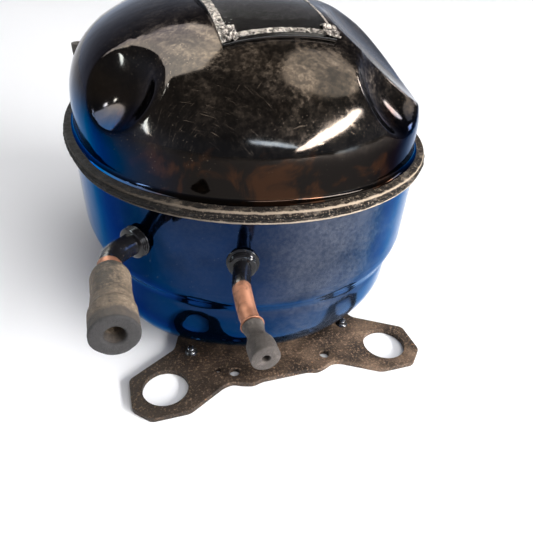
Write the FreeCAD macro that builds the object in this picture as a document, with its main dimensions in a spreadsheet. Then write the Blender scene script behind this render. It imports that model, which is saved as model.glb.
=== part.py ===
"""Hermetic reciprocating compressor: a welded oval shell on two foot plates, with the
spring-mounted motor, crankshaft, piston and valve gear inside it.

Frame: millimetres, +Z up.  The origin is the middle of the four foot holes, on the underside
of the foot plates.  The two tubes leave the front of the shell, towards -Y.
"""
import FreeCAD, Part
import math
import os
from types import SimpleNamespace

import Sketcher
from FreeCAD import Placement, Rotation, Vector

doc = FreeCAD.newDocument("Compressor")
sheet = doc.addObject("Spreadsheet::Sheet", "Sizes")

# ---------------------------------------------------------------- driving dimensions

SIZES = {
    # foot plates
    "hole_pitch_x": 101.6, "hole_pitch_y": 165.1, "foot_hole_r": 9.5, "plate_t": 2.5,
    "ear_out": 14.2, "ear_front": 14.3, "ear_corner": 7.5, "ear_back": 8.0,
    "waist_half": 27.0, "waist_front": 5.0, "notch_half": 23.0, "notch_front": 4.2,
    "lobe_end": 18.0, "lobe_side": 6.4, "lobe_half": 14.3, "lobe_front": 7.3,
    "middle_half": 10.8, "middle_front": 6.0,
    "neck_half": 44.0, "neck_back": 21.0, "tongue_half": 38.0, "tongue_back": 38.0,
    "small_hole_x": 21.0, "small_hole_back": 0.9, "small_hole_r": 2.3, "pilot_x": 27.6,
    "pilot_back": 3.8, "pilot_hole_r": 1.3, "stud_x": 37.0, "stud_back": 17.5,
    "stud_r": 1.8, "stud_rise": 3.0,
    # oval shell in plan: the flange's outer edge, and how far its long sides bow out
    "rim_half_w": 76.5, "rim_half_l": 98.5, "side_bow": 4.0,
    "flange_t": 2.4, "sheet_t": 2.6, "weld_out": 0.7, "weld_half": 0.9,
    # lower shell in section
    "bowl_depth": 84.0, "bowl_inset": 5.0, "upper_wall": 34.5, "tier_r": 8.0, "sump_r": 27.0,
    # cover in section, and the stamped scallops in its shoulder: angle from the front,
    # height on the shoulder's arc, depth and radius of the ball that presses each
    "cover_inset": 4.6, "cover_wall": 11.6, "shoulder_r": 32.0, "crown_flat": 6.26,
    "cover_room": 10.14,
    "left_scallop_angle": 62.0, "left_scallop_level_angle": 38.0, "left_scallop_depth": 7.0,
    "left_scallop_r": 36.0,
    "right_scallop_angle": 39.0, "right_scallop_level_angle": 38.0, "right_scallop_depth": 8.0,
    "right_scallop_r": 36.0,
    "side_scallop_angle": 72.0, "side_scallop_level_angle": 54.0, "side_scallop_depth": 9.0,
    "side_scallop_r": 240.0,
    # label on the crown
    "label_w": 42.0, "label_front": 65.3, "label_len": 83.0, "label_t": 1.2, "film_t": 0.4,
    "film_edge": 1.6, "label_x": 0.3,
    # tubes, their collars and plugs
    "tube_drop": 19.0, "suction_angle": 50.8, "discharge_angle": 17.4, "process_angle": 56.0,
    "suction_r": 4.0, "discharge_r": 3.1, "process_r": 3.1, "tube_wall": 0.8,
    "collar_wall": 2.2, "collar_out": 5.0, "collar_in": 5.0, "bead_r": 1.1, "braze_gap": 0.05,
    "suction_out": 15.09, "suction_run": 15.8, "discharge_out": 14.76,
    "discharge_run": 14.0, "discharge_sag": 4.6, "discharge_level": 6.5,
    "process_out": 13.5, "process_rise": 23.8, "tube_bend_r": 11.0, "small_bend_r": 8.0,
    "cap_r": 6.6, "cap_mouth_r": 7.3, "cap_len": 33.0, "cap_hole_r": 3.0, "cap_grip": 9.0,
    "cap_tail_r": 5.7, "cap_taper": 3.0, "cap_waist": 9.6, "cap_lip": 13.2, "end_gap": 0.2,
    "plug_r": 4.4, "plug_neck_r": 2.9, "plug_neck": 5.0, "plug_head": 9.0, "plug_stem": 4.0,
    "plug_flare": 0.6, "plug_back_r": 3.5, "plug_back": 1.5, "plug_swell": 3.3,
    "plug_hole_r": 1.2,
    # electrical terminal on the rear wall
    "terminal_drop": 24.0, "terminal_r": 14.0, "terminal_t": 3.0, "terminal_set": 1.0,
    "glass_r": 3.2, "pin_r": 1.6, "pin_circle_r": 7.0, "pin_out": 9.0, "pin_in": 11.0,
    "fence_w": 44.0, "fence_tall": 38.0, "fence_out": 14.0, "fence_t": 1.2,
    "screw_r": 2.0, "screw_head_r": 4.0, "screw_head": 2.6, "screw_len": 8.0,
    "lead_plug_w": 24.0, "lead_plug_tall": 18.0, "lead_plug_t": 8.0, "lead_plug_gap": 1.5,
    # suspension
    "spring_in": 15.0, "spring_longer": 1.0, "seat_rise": 7.4, "spring_len": 24.1,
    "spring_r": 5.7, "wire_r": 0.8, "spring_turns": 6.0, "snubber_r": 4.6,
    "snubber_len": 8.0, "seat_r": 6.6, "cap_flange": 1.5, "spring_gap": 0.15,
    # motor
    "crank_set": 8.0, "stator_in": 26.5, "stator_corner": 10.0, "stack_room": 50.0,
    "yoke_w": 19.0, "air_gap": 0.5, "slot_depth": 10.0, "slot_half": 2.0, "slot_mouth": 0.9,
    "slot_lip": 2.0, "slots": 24.0, "slot_liner": 0.2, "turn_tall": 12.0, "turn_r": 3.0,
    "rotor_over": 1.0, "end_ring_set": 2.0, "end_ring_w": 9.5, "end_ring_t": 4.0,
    # crankcase block
    "block_t": 7.0, "block_in": 4.0, "leg_len": 17.5, "leg_half": 5.0, "hub_r": 14.0,
    "hub_drop": 11.0, "journal_r": 8.0, "journal_gap": 0.04, "bolt_r": 2.5,
    "bolt_gap": 0.15, "bolt_head_r": 3.5, "bolt_head": 3.5, "saddle_sink": 1.0,
    # cylinder, piston and crank
    "bore_rise": 16.8, "piston_r": 11.0, "piston_gap": 0.03, "barrel_wall": 4.0,
    "throw": 8.0, "face_back": 53.1, "pin_to_crown": 12.0, "pin_to_skirt": 10.0,
    "crown_gap": 0.4, "barrel_back": 22.0, "piston_wall": 2.5, "crown_t": 4.0,
    "wrist_r": 4.0, "wrist_short": 1.2, "web_r": 15.6, "web_t": 3.7, "washer_t": 0.8,
    "running_gap": 0.1, "open_gap": 0.3, "counter_r": 19.5, "counter_angle": 170.0,
    "crankpin_r": 7.0, "crankpin_len": 18.5, "big_end_wall": 4.5, "big_end_half": 5.0,
    "small_end_wall": 3.0, "small_end_half": 4.0, "shank_half": 3.5, "pin_gap": 0.03,
    "pickup_r": 4.0, "pickup_tip_r": 2.2, "pickup_len": 20.0, "pickup_tip": 6.0,
    "oil_hole_r": 2.0, "shaft_tail": 3.0,
    # head stack
    "head_half_w": 20.0, "head_half_h": 13.0, "face_t": 6.0, "reed_t": 0.3, "valve_t": 3.0,
    "gasket_t": 0.8, "head_t": 10.0, "head_wall": 3.0, "head_bolt_x": 15.5,
    "head_bolt_z": 9.2, "head_bolt_r": 2.0, "head_bolt_top_r": 3.5, "head_bolt_top": 3.0,
    "port_x": 5.0, "port_r": 2.6, "reed_w": 7.0, "reed_len": 17.0, "reed_slit": 0.8,
    "delivery_len": 15.3,
    # mufflers and the flexible discharge line
    "muffler_near": 24.0, "muffler_back": 1.4, "muffler_len": 30.0,
    "muffler_tall": 18.0, "duct_w": 12.0, "duct_tall": 12.0, "duct_len": 12.0,
    "can_near": 21.5, "can_over": 0.5, "can_back": 25.4, "can_tall": 15.5, "can_bevel": 2.5,
    "can_top": 3.3, "line_r": 2.4, "line_rise": 6.6, "line_in": 19.5, "line_bend": 7.0,
    "line_ahead": 3.0, "line_lean": 1.0, "line_cross_x": 30.0, "line_cross_y": 4.0,
    "line_end": 24.0, "line_gap": 0.6, "touch_gap": 0.05, "pipe_drop": 2.0,
    "lead_r": 1.1, "lead_rise": 8.0, "lead_pitch": 3.3, "lead_bend": 3.0, "lead_gap": 0.5,
}


class Dim:
    """A length that holds its number and the spreadsheet expression that gives it."""

    def __init__(self, number, text):
        self.number = float(number)
        self.text = text

    def __float__(self):
        return self.number

    def __add__(self, other):
        other = dim(other)
        return Dim(self.number + other.number, f"({self.text} + {other.text})")

    def __sub__(self, other):
        other = dim(other)
        return Dim(self.number - other.number, f"({self.text} - {other.text})")

    def __mul__(self, other):
        other = dim(other)
        return Dim(self.number * other.number, f"({self.text} * {other.text})")

    def __truediv__(self, other):
        other = dim(other)
        return Dim(self.number / other.number, f"({self.text} / {other.text})")

    def __radd__(self, other):
        return dim(other) + self

    def __rsub__(self, other):
        return dim(other) - self

    def __rmul__(self, other):
        return dim(other) * self

    def __neg__(self):
        return Dim(-self.number, f"(0 - {self.text})")


def dim(value):
    if isinstance(value, Dim):
        return value
    return Dim(value, f"({float(value)!r})")


def fill_sheet():
    """Write each driving dimension as a plain number with an alias."""
    for row, (name, value) in enumerate(SIZES.items(), start=1):
        sheet.set(f"A{row}", name.replace("_", " "))
        sheet.set(f"B{row}", str(value))
        sheet.setAlias(f"B{row}", name)
    doc.recompute()
    return SimpleNamespace(**{name: Dim(sheet.get(name), f"Sizes.{name}") for name in SIZES})


size = fill_sheet()
exported = []
TO_REAR = Rotation(Vector(1, 0, 0), -90)
TO_FRONT = Rotation(Vector(1, 0, 0), 90)
UPRIGHT = Rotation()

# ---------------------------------------------------------------- levels and centres

end_r = size.rim_half_w - size.side_bow
end_centre = size.rim_half_l - end_r
bowl_r = end_r - size.bowl_inset
bowl_z = size.plate_t
parting_z = bowl_z + size.bowl_depth
seat_z = bowl_z + size.sheet_t + size.seat_rise
stator_z = seat_z + size.spring_len + size.cap_flange
stator_len = size.bowl_depth - size.stack_room
stator_top = stator_z + stator_len
block_z = stator_top + size.leg_len
block_top = block_z + size.block_t
web_z = block_top + size.washer_t + size.running_gap
bore_z = block_top + size.bore_rise
barrel_r = size.piston_r + size.barrel_wall
cover_top = bore_z + barrel_r + size.cover_room
tube_z = parting_z - size.tube_drop
terminal_z = parting_z - size.terminal_drop
crank_y = (end_centre - size.crank_set) / 2
crankpin_y = crank_y - size.throw
face_y = -(size.rim_half_l - size.face_back)
wrist_y = face_y + size.crown_gap + size.pin_to_crown
rod_len = crankpin_y - wrist_y
muffler_front = face_y + size.muffler_back
can_y = face_y + size.can_back
valve_y = face_y - size.reed_t
gasket_y = valve_y - size.valve_t
head_y = gasket_y - size.gasket_t
head_front = head_y - size.head_t
stator_half = size.rim_half_w - size.stator_in
bore_r = stator_half - size.yoke_w
end_ring_r = bore_r - size.air_gap - size.end_ring_set
end_ring_in = end_ring_r - size.end_ring_w
block_half = stator_half - size.block_in
spring_x = stator_half - size.spring_in
spring_y = spring_x + size.spring_longer
muffler_w = block_half - size.muffler_near
can_r = (block_half + size.can_over - size.can_near) / 2
can_top_r = can_r - size.can_bevel
can_x = size.can_near + can_r
line_x = size.rim_half_w - size.line_in
line_y = crank_y - stator_half - size.line_ahead

# ---------------------------------------------------------------- building helpers


def number(value):
    return float(dim(value))


def vector(point):
    return Vector(*[number(value) for value in point])


def place(obj, at, turn=UPRIGHT):
    """Put an object at a point whose coordinates stay bound to the sheet."""
    obj.Placement = Placement(vector(at), turn)
    for axis, value in zip("xyz", at):
        obj.setExpression(f"Placement.Base.{axis}", dim(value).text)
    return obj


def keep(obj, label):
    """Name a finished sub-part and list it for export."""
    obj.Label = label
    exported.append(obj)
    return obj


def block(name, wide, deep, tall, middle):
    """A box centred on middle in X and Y that stands on middle's Z."""
    obj = doc.addObject("Part::Box", name)
    for prop, value in (("Length", wide), ("Width", deep), ("Height", tall)):
        obj.setExpression(prop, dim(value).text)
    x, y, z = middle
    return place(obj, (x - dim(wide) / 2, y - dim(deep) / 2, z))


def rod(name, radius, length, start, turn=UPRIGHT, sweep=360):
    """A cylinder that starts at a point and runs along its turned Z axis."""
    obj = doc.addObject("Part::Cylinder", name)
    obj.setExpression("Radius", dim(radius).text)
    obj.setExpression("Height", dim(length).text)
    obj.setExpression("Angle", dim(sweep).text)
    return place(obj, start, turn)


def join(name, *parts):
    obj = doc.addObject("Part::MultiFuse", name)
    obj.Shapes = list(parts)
    obj.Refine = True
    return obj


def cut(name, base, *tools):
    obj = doc.addObject("Part::Cut", name)
    obj.Base = base
    obj.Tool = tools[0] if len(tools) == 1 else join(f"{name}_tools", *tools)
    obj.Refine = True
    return obj


def group(name, *parts):
    """Separate solids of one kind in one node."""
    obj = doc.addObject("Part::Compound", name)
    obj.Links = list(parts)
    return obj


def shaped(name, shape, at=(0, 0, 0)):
    """A sub-part whose shape comes from Part's own functions."""
    obj = doc.addObject("Part::Feature", name)
    obj.Shape = shape
    obj.Placement = Placement(vector(at), UPRIGHT)
    return keep(obj, name)


def origin_plane(body, role):
    return next(item for item in body.Origin.OriginFeatures if item.Role == role)


def new_sketch(body, role, name):
    sketch = body.newObject("Sketcher::SketchObject", name)
    sketch.AttachmentSupport = [(origin_plane(body, role), "")]
    sketch.MapMode = "FlatFace"
    return sketch


def pin_point(sketch, geometry, position, across, along):
    """Hold a sketch point at two coordinates bound to the sheet."""
    for kind, axis_line, value in (("DistanceX", -2, across), ("DistanceY", -1, along)):
        value = dim(value)
        if value.number == 0:
            sketch.addConstraint(
                Sketcher.Constraint("PointOnObject", geometry, position, axis_line))
            continue
        index = sketch.addConstraint(
            Sketcher.Constraint(kind, -1, 1, geometry, position, value.number))
        sketch.setExpression(f"Constraints[{index}]", value.text)


def draw_outline(sketch, outline):
    """A closed outline of straight lines through the given points."""
    points = [Vector(number(x), number(y), 0) for x, y in outline]
    first = sketch.GeometryCount
    count = len(points)
    for i, point in enumerate(points):
        sketch.addGeometry(Part.LineSegment(point, points[(i + 1) % count]))
    for i in range(count):
        sketch.addConstraint(
            Sketcher.Constraint("Coincident", first + i, 2, first + (i + 1) % count, 1))
    for i, (across, along) in enumerate(outline):
        pin_point(sketch, first + i, 1, across, along)


def draw_circle(sketch, across, along, radius):
    centre = Vector(number(across), number(along), 0)
    index = sketch.addGeometry(Part.Circle(centre, Vector(0, 0, 1), number(radius)))
    pin_point(sketch, index, 3, across, along)
    constraint = sketch.addConstraint(Sketcher.Constraint("Radius", index, number(radius)))
    sketch.setExpression(f"Constraints[{constraint}]", dim(radius).text)


def new_body(name, at, turn):
    return place(doc.addObject("PartDesign::Body", name), at, turn)


def turned(name, outline, at, turn=UPRIGHT):
    """A turned piece: an outline of (radius, height) points revolved about its own Z."""
    body = new_body(name, at, turn)
    sketch = new_sketch(body, "XZ_Plane", f"{name}_section")
    draw_outline(sketch, outline)
    feature = body.newObject("PartDesign::Revolution", f"{name}_turned")
    feature.Profile = sketch
    feature.ReferenceAxis = (sketch, ["V_Axis"])
    feature.Angle = 360
    return body


def padded(body, sketch, length, name):
    feature = body.newObject("PartDesign::Pad", name)
    feature.Profile = sketch
    feature.setExpression("Length", dim(length).text)
    return feature


def pattern_round(body, feature, sketch, count, name):
    """Repeat a feature round the body's Z axis and make the result the body's tip."""
    pattern = body.newObject("PartDesign::PolarPattern", name)
    pattern.Originals = [feature]
    pattern.Axis = (sketch, ["N_Axis"])
    pattern.Angle = 360
    pattern.setExpression("Occurrences", dim(count).text)
    body.Tip = pattern
    return pattern


# ---------------------------------------------------------------- the oval shell

def oval_arcs(inset):
    """The four arcs of the shell's plan, inset from the flange's edge: centre, radius, start, turn."""
    lean = number(size.rim_half_w) - number(end_r)
    centre_y = number(end_centre)
    centre_x = (centre_y ** 2 - lean ** 2) / (2 * lean)
    half = math.degrees(math.atan2(centre_y, centre_x))
    side_r = number(size.rim_half_w) + centre_x - inset
    tip_r = number(end_r) - inset
    return [
        ((-centre_x, 0), side_r, -half, 2 * half),
        ((0, centre_y), tip_r, half, 180 - 2 * half),
        ((centre_x, 0), side_r, 180 - half, 2 * half),
        ((0, -centre_y), tip_r, 180 + half, 180 - 2 * half),
    ]


def polar(centre, radius, angle, z):
    turn = math.radians(angle)
    return Vector(centre[0] + radius * math.cos(turn), centre[1] + radius * math.sin(turn), z)


def oval_prism(inset, low, high):
    """A straight-sided solid of the shell's plan between two levels."""
    edges = []
    for centre, radius, start, turn in oval_arcs(number(inset)):
        ends = [polar(centre, radius, start + turn * share, number(low)) for share in (0, 0.5, 1)]
        edges.append(Part.Arc(*ends).toShape())
    face = Part.Face(Part.Wire(edges))
    return face.extrude(Vector(0, 0, number(high) - number(low)))


def oval_form(section, flat_inset, open_z, flat_z):
    """A solid whose section is swept round the oval, with a flat middle.

    The section is a list of (start, middle, end) arcs and (start, end) lines in (inset, z),
    from the open rim at inset and open_z to the flat middle at flat_inset and flat_z.
    """
    solid = oval_prism(flat_inset, min(open_z, flat_z), max(open_z, flat_z))
    corner = (flat_inset, open_z)
    outline = section + [((flat_inset, flat_z), corner), (corner, section[0][0])]
    for centre, radius, start, turn in oval_arcs(0):
        edges = []
        for points in outline:
            ends = [Vector(radius - inset, 0, z) for inset, z in points]
            curve = Part.Arc(*ends) if len(ends) == 3 else Part.LineSegment(*ends)
            edges.append(curve.toShape())
        face = Part.Face(Part.Wire(edges))
        face.rotate(Vector(), Vector(0, 0, 1), start)
        face.translate(Vector(centre[0], centre[1], 0))
        sector = face.revolve(Vector(centre[0], centre[1], 0), Vector(0, 0, 1), turn)
        solid = solid.fuse(sector)
    return solid.removeSplitter()


def arc_points(centre, radius, start, end):
    """Start, middle and end of an arc in (inset, z); 180 degrees faces the shell's outside."""
    turns = [math.radians(start + (end - start) * share) for share in (0, 0.5, 1)]
    return tuple(
        (centre[0] + radius * math.cos(turn), centre[1] + radius * math.sin(turn))
        for turn in turns)


def bowl_form(inset):
    """The lower shell's outside, or its inside when inset by the sheet."""
    wall = number(size.bowl_inset)
    top = number(parting_z)
    tier_z = top - number(size.upper_wall)
    tier_r = number(size.tier_r)
    sump_r = number(size.sump_r)
    sump_wall = wall + tier_r
    sump_z = number(bowl_z) + sump_r
    tier = arc_points((sump_wall, tier_z), tier_r - inset, 180, 270)
    sump = arc_points((sump_wall + sump_r, sump_z), sump_r - inset, 180, 270)
    section = [
        ((wall + inset, top), tier[0]), tier, (tier[2], (sump[0][0], tier[2][1])),
        ((sump[0][0], tier[2][1]), sump[0]), sump]
    if inset == 0:
        section = [((wall, top), tier[0]), tier, (tier[2], sump[0]), sump]
    return oval_form(section, sump[2][0], top, sump[2][1])


def scallop_balls():
    """Middle and radius of each ball that presses a scallop into the cover's shoulder."""
    shoulder_r = number(size.shoulder_r)
    for side, turn, level, depth, ball_r in (
            (-1, size.left_scallop_angle, size.left_scallop_level_angle,
             size.left_scallop_depth, size.left_scallop_r),
            (1, size.right_scallop_angle, size.right_scallop_level_angle,
             size.right_scallop_depth, size.right_scallop_r),
            (1, size.side_scallop_angle, size.side_scallop_level_angle,
             size.side_scallop_depth, size.side_scallop_r)):
        tilt = math.radians(number(level))
        reach = shoulder_r + number(ball_r) - number(depth)
        z = number(parting_z + size.cover_wall) + reach * math.sin(tilt)
        away = number(size.cover_inset) + shoulder_r - reach * math.cos(tilt)
        middle = polar((0, -number(end_centre)), number(end_r) - away,
                       side * number(turn) - 90, z)
        yield middle, number(ball_r)


def cover_form(inset):
    """The cover's outside, or its inside when inset by the sheet; outset when negative."""
    wall = number(size.cover_inset)
    shoulder_r = number(size.shoulder_r)
    spring = number(parting_z + size.cover_wall)
    shoulder_x = wall + shoulder_r
    crown_x = number(end_r - size.crown_flat)
    rise = number(cover_top) - spring
    crown_r = ((crown_x - shoulder_x) ** 2 + rise ** 2 - shoulder_r ** 2) / (2 * (rise - shoulder_r))
    turn = math.degrees(math.acos((crown_x - shoulder_x) / (crown_r - shoulder_r)))
    shoulder = arc_points((shoulder_x, spring), shoulder_r - inset, 180, 180 - turn)
    crown = arc_points((crown_x, spring + rise - crown_r), crown_r - inset, 180 - turn, 90)
    base = number(parting_z)
    section = [((wall + inset, base), shoulder[0]), shoulder, (shoulder[2], crown[1], crown[2])]
    solid = oval_form(section, crown[2][0], base, crown[2][1])
    for middle, ball_r in scallop_balls():
        solid = solid.cut(Part.makeSphere(ball_r + inset, middle))
    return solid


def wall_point(turn, end, z):
    """A point on the lower shell's outside, turned from the front or rear towards -X."""
    lean = math.radians(number(turn))
    out = Vector(-math.sin(lean), end * math.cos(lean), 0)
    start = Vector(0, end * number(end_centre), number(z))
    return start + out * number(bowl_r), out


def tube_ports():
    """Where each tube leaves the shell: point, outward direction and tube radius."""
    return {
        "suction": (*wall_point(size.suction_angle, -1, tube_z), number(size.suction_r)),
        "discharge": (*wall_point(size.discharge_angle, -1, tube_z), number(size.discharge_r)),
        "process": (*wall_point(size.process_angle, 1, tube_z), number(size.process_r)),
    }


def lower_shell():
    shell = bowl_form(0).cut(bowl_form(number(size.sheet_t)))
    lip = parting_z - size.flange_t
    ring = oval_prism(0, lip, parting_z).cut(
        oval_prism(size.bowl_inset + size.sheet_t, lip, parting_z))
    shell = shell.fuse(ring)
    for start, out, radius in tube_ports().values():
        hole_r = radius + number(size.collar_wall)
        reach = 2 * number(size.collar_in)
        shell = shell.cut(Part.makeCylinder(hole_r, 2 * reach, start - out * reach, out))
    rear = Vector(0, number(end_centre), number(terminal_z))
    hole = Part.makeCylinder(number(size.terminal_r), number(end_r), rear, Vector(0, 1, 0))
    return shell.cut(hole).removeSplitter()


def upper_cover():
    cover = cover_form(0).cut(cover_form(number(size.sheet_t)))
    lip = parting_z + size.flange_t
    ring = oval_prism(0, parting_z, lip).cut(
        oval_prism(size.cover_inset + size.sheet_t, parting_z, lip))
    return cover.fuse(ring).removeSplitter()


def make_shell():
    shaped("lower_shell", lower_shell())
    shaped("upper_cover", upper_cover())
    low = parting_z - size.weld_half
    high = parting_z + size.weld_half
    shaped("rim_weld_bead", oval_prism(-size.weld_out, low, high).cut(oval_prism(0, low, high)))


def make_label():
    """A thin plate that follows the crown, under a clear film."""
    label_t = number(size.label_t)
    skins = [cover_form(0), cover_form(-label_t), cover_form(-label_t - number(size.film_t))]
    for name, inner, outer, edge in (
            ("label_plate", skins[0], skins[1], 0.0),
            ("label_film", skins[1], skins[2], number(size.film_edge))):
        wide = number(size.label_w) + 2 * edge
        long = number(size.label_len) + 2 * edge
        corner = Vector(
            number(size.label_x) - wide / 2, -number(size.label_front) - edge, number(parting_z))
        area = Part.makeBox(wide, long, number(size.rim_half_l), corner)
        shaped(name, outer.common(area).cut(inner))


# ---------------------------------------------------------------- foot plates

def foot_outline():
    """The plate's outline about its hole line; the shell lies towards +Y."""
    hole_x = size.hole_pitch_x / 2
    side = hole_x + size.ear_out
    low = hole_x + size.ear_corner
    ear = -size.ear_front
    right = [
        (size.middle_half, -size.middle_front), (size.lobe_half, -size.lobe_front),
        (size.lobe_end, -size.lobe_side), (size.notch_half, -size.notch_front),
        (size.waist_half, -size.waist_front),
        (hole_x - size.ear_back, ear), (low, ear), (side, -size.ear_corner),
        (side, size.ear_back), (size.neck_half, size.neck_back),
        (size.tongue_half, size.tongue_back)]
    left = [(-x, y) for x, y in reversed(right)]
    return right + left


def foot_plate(name, at, turn):
    body = new_body(name, at, turn)
    sketch = new_sketch(body, "XY_Plane", f"{name}_outline")
    draw_outline(sketch, foot_outline())
    hole_x = size.hole_pitch_x / 2
    for side in (-1, 1):
        draw_circle(sketch, side * hole_x, 0, size.foot_hole_r)
        draw_circle(sketch, side * size.small_hole_x, size.small_hole_back, size.small_hole_r)
    draw_circle(sketch, -size.pilot_x, size.pilot_back, size.pilot_hole_r)
    padded(body, sketch, size.plate_t, f"{name}_blank")
    return keep(body, name)


def make_feet():
    front = -size.hole_pitch_y / 2
    foot_plate("front_foot_plate", (0, front, 0), UPRIGHT)
    foot_plate("rear_foot_plate", (0, -front, 0), Rotation(Vector(0, 0, 1), 180))
    studs = []
    for end in (-1, 1):
        for side in (-1, 1):
            y = end * (size.hole_pitch_y / 2 - size.stud_back)
            start = (side * size.stud_x, y, bowl_z)
            studs.append(rod(f"stud_{end}_{side}", size.stud_r, size.stud_rise, start))
    keep(group("foot_studs", *studs), "foot_studs")


# ---------------------------------------------------------------- tubes and their plugs

def routed_pipe(points, bend_r, radius):
    """A round bar along straight runs joined by tangent bends."""
    points = [vector(point) for point in points]
    edges = []
    start = points[0]
    for before, corner, after in zip(points, points[1:], points[2:]):
        inward = (corner - before).normalize()
        outward = (after - corner).normalize()
        turn = inward.getAngle(outward)
        back = bend_r * math.tan(turn / 2)
        first = corner - inward * back
        last = corner + outward * back
        middle = corner + (outward - inward).normalize() * bend_r * (1 / math.cos(turn / 2) - 1)
        edges.append(Part.LineSegment(start, first).toShape())
        edges.append(Part.Arc(first, middle, last).toShape())
        start = last
    edges.append(Part.LineSegment(start, points[-1]).toShape())
    path = Part.Wire(edges)
    circle = Part.Circle(points[0], points[1] - points[0], number(radius))
    return path.makePipeShell([Part.Wire(circle.toShape())], True, False)


def hollow_pipe(points, bend_r, radius, wall):
    outside = routed_pipe(points, bend_r, radius)
    return outside.cut(routed_pipe(points, bend_r, number(radius) - number(wall)))


def tube_collar(name, start, out, radius):
    """The swaged steel collar that the tube is brazed into, with a bead at its mouth."""
    hole = radius + number(size.braze_gap)
    wall = number(size.collar_wall)
    inner = start - out * number(size.collar_in)
    length = number(size.collar_in + size.collar_out)
    sleeve = Part.makeCylinder(radius + wall, length, inner, out)
    mouth = start + out * number(size.collar_out - size.bead_r)
    sleeve = sleeve.fuse(Part.makeTorus(radius + wall, number(size.bead_r), mouth, out))
    return shaped(name, sleeve.cut(Part.makeCylinder(hole, length, inner, out)))


def make_tubes():
    ports = tube_ports()
    for kind, (start, out, radius) in ports.items():
        tube_collar(f"{kind}_collar", start, out, radius)
    ends = {}
    small_bend = number(size.small_bend_r)
    for kind, reach, run, sag in (
            ("suction", size.suction_out, size.suction_run, 0),
            ("discharge", size.discharge_out, size.discharge_run, size.discharge_sag)):
        start, out, radius = ports[kind]
        corner = start + out * number(reach)
        end = corner - Vector(0, number(run), number(sag))
        inner = start - out * number(size.collar_in)
        route = [inner, corner, end]
        bend = number(size.tube_bend_r)
        if number(sag):
            route = [inner, corner, end + Vector(0, number(size.discharge_level), 0), end]
            bend = small_bend
        shaped(f"{kind}_tube", hollow_pipe(route, bend, radius, size.tube_wall))
        ends[kind] = end
    start, out, radius = ports["process"]
    inner = start - out * number(size.collar_in)
    corner = start + out * number(size.process_out)
    end = corner + Vector(0, 0, number(size.process_rise))
    shaped("process_tube", hollow_pipe([inner, corner, end], small_bend, radius, size.tube_wall))
    make_cap(ends["suction"])
    make_plug("discharge_plug", ends["discharge"], TO_FRONT, size.discharge_r)
    make_plug("process_plug", end, UPRIGHT, size.process_r)


def make_cap(end):
    """The rubber cap that grips the outside of the suction tube."""
    tube_r = size.suction_r + size.braze_gap
    back = -size.cap_grip
    front = size.cap_len - size.cap_grip
    outline = [
        (tube_r, back), (size.cap_tail_r, back), (size.cap_r, back + size.cap_taper),
        (size.cap_r, size.cap_waist), (size.cap_mouth_r, size.cap_lip), (size.cap_mouth_r, front),
        (size.cap_hole_r, front), (size.cap_hole_r, size.end_gap), (tube_r, size.end_gap)]
    keep(turned("suction_cap", outline, tuple(end), TO_FRONT), "suction_cap")


def make_plug(name, end, turn, tube_r):
    """A rubber plug: a stem in the tube's bore, a neck and a head with a small hole."""
    stem_r = tube_r - size.tube_wall - size.braze_gap
    seat = size.end_gap
    neck = seat + size.plug_neck
    top = neck + size.plug_head
    hole = size.plug_hole_r
    outline = [
        (hole, -size.plug_stem), (stem_r, -size.plug_stem), (stem_r, seat),
        (size.plug_neck_r + size.plug_flare, seat), (size.plug_neck_r, neck / 2),
        (size.plug_neck_r, neck), (size.plug_back_r, neck + size.plug_back),
        (size.plug_r, neck + size.plug_swell), (size.plug_r, top), (hole, top)]
    keep(turned(name, outline, tuple(end), turn), name)


# ---------------------------------------------------------------- electrical terminal

def pin_places():
    return [
        (math.cos(math.radians(turn)), math.sin(math.radians(turn))) for turn in (90, 210, 330)]


def make_terminal():
    wall_y = size.rim_half_l - size.bowl_inset
    back = wall_y - size.sheet_t - size.terminal_set
    disc = rod("terminal_disc", size.terminal_r, size.terminal_t, (0, back, terminal_z), TO_REAR)
    holes, glass, pins, sockets = [], [], [], []
    pin_start = back - size.pin_in
    pin_len = size.pin_in + size.terminal_t + size.pin_out
    for i, (across, up) in enumerate(pin_places()):
        x = size.pin_circle_r * across
        z = terminal_z + size.pin_circle_r * up
        bead = rod(f"bead_{i}", size.glass_r, size.terminal_t, (x, back, z), TO_REAR)
        core = rod(f"bead_hole_{i}", size.pin_r, size.terminal_t, (x, back, z), TO_REAR)
        glass.append(cut(f"glass_{i}", bead, core))
        holes.append(rod(f"hole_{i}", size.glass_r, size.terminal_t, (x, back, z), TO_REAR))
        pins.append(rod(f"pin_{i}", size.pin_r, pin_len, (x, pin_start, z), TO_REAR))
        socket_r = size.pin_r + size.braze_gap
        sockets.append(rod(f"socket_{i}", socket_r, pin_len, (x, pin_start, z), TO_REAR))
    keep(cut("terminal_body", disc, *holes), "terminal_body")
    keep(group("terminal_glass", *glass), "terminal_glass")
    keep(group("terminal_pins", *pins), "terminal_pins")
    plug_y = back - size.lead_plug_gap - size.lead_plug_t / 2
    plug = block("plug_block", size.lead_plug_w, size.lead_plug_t, size.lead_plug_tall,
                 (0, plug_y, terminal_z - size.lead_plug_tall / 2))
    keep(cut("lead_plug", plug, *sockets), "lead_plug")
    make_fence(wall_y)


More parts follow.
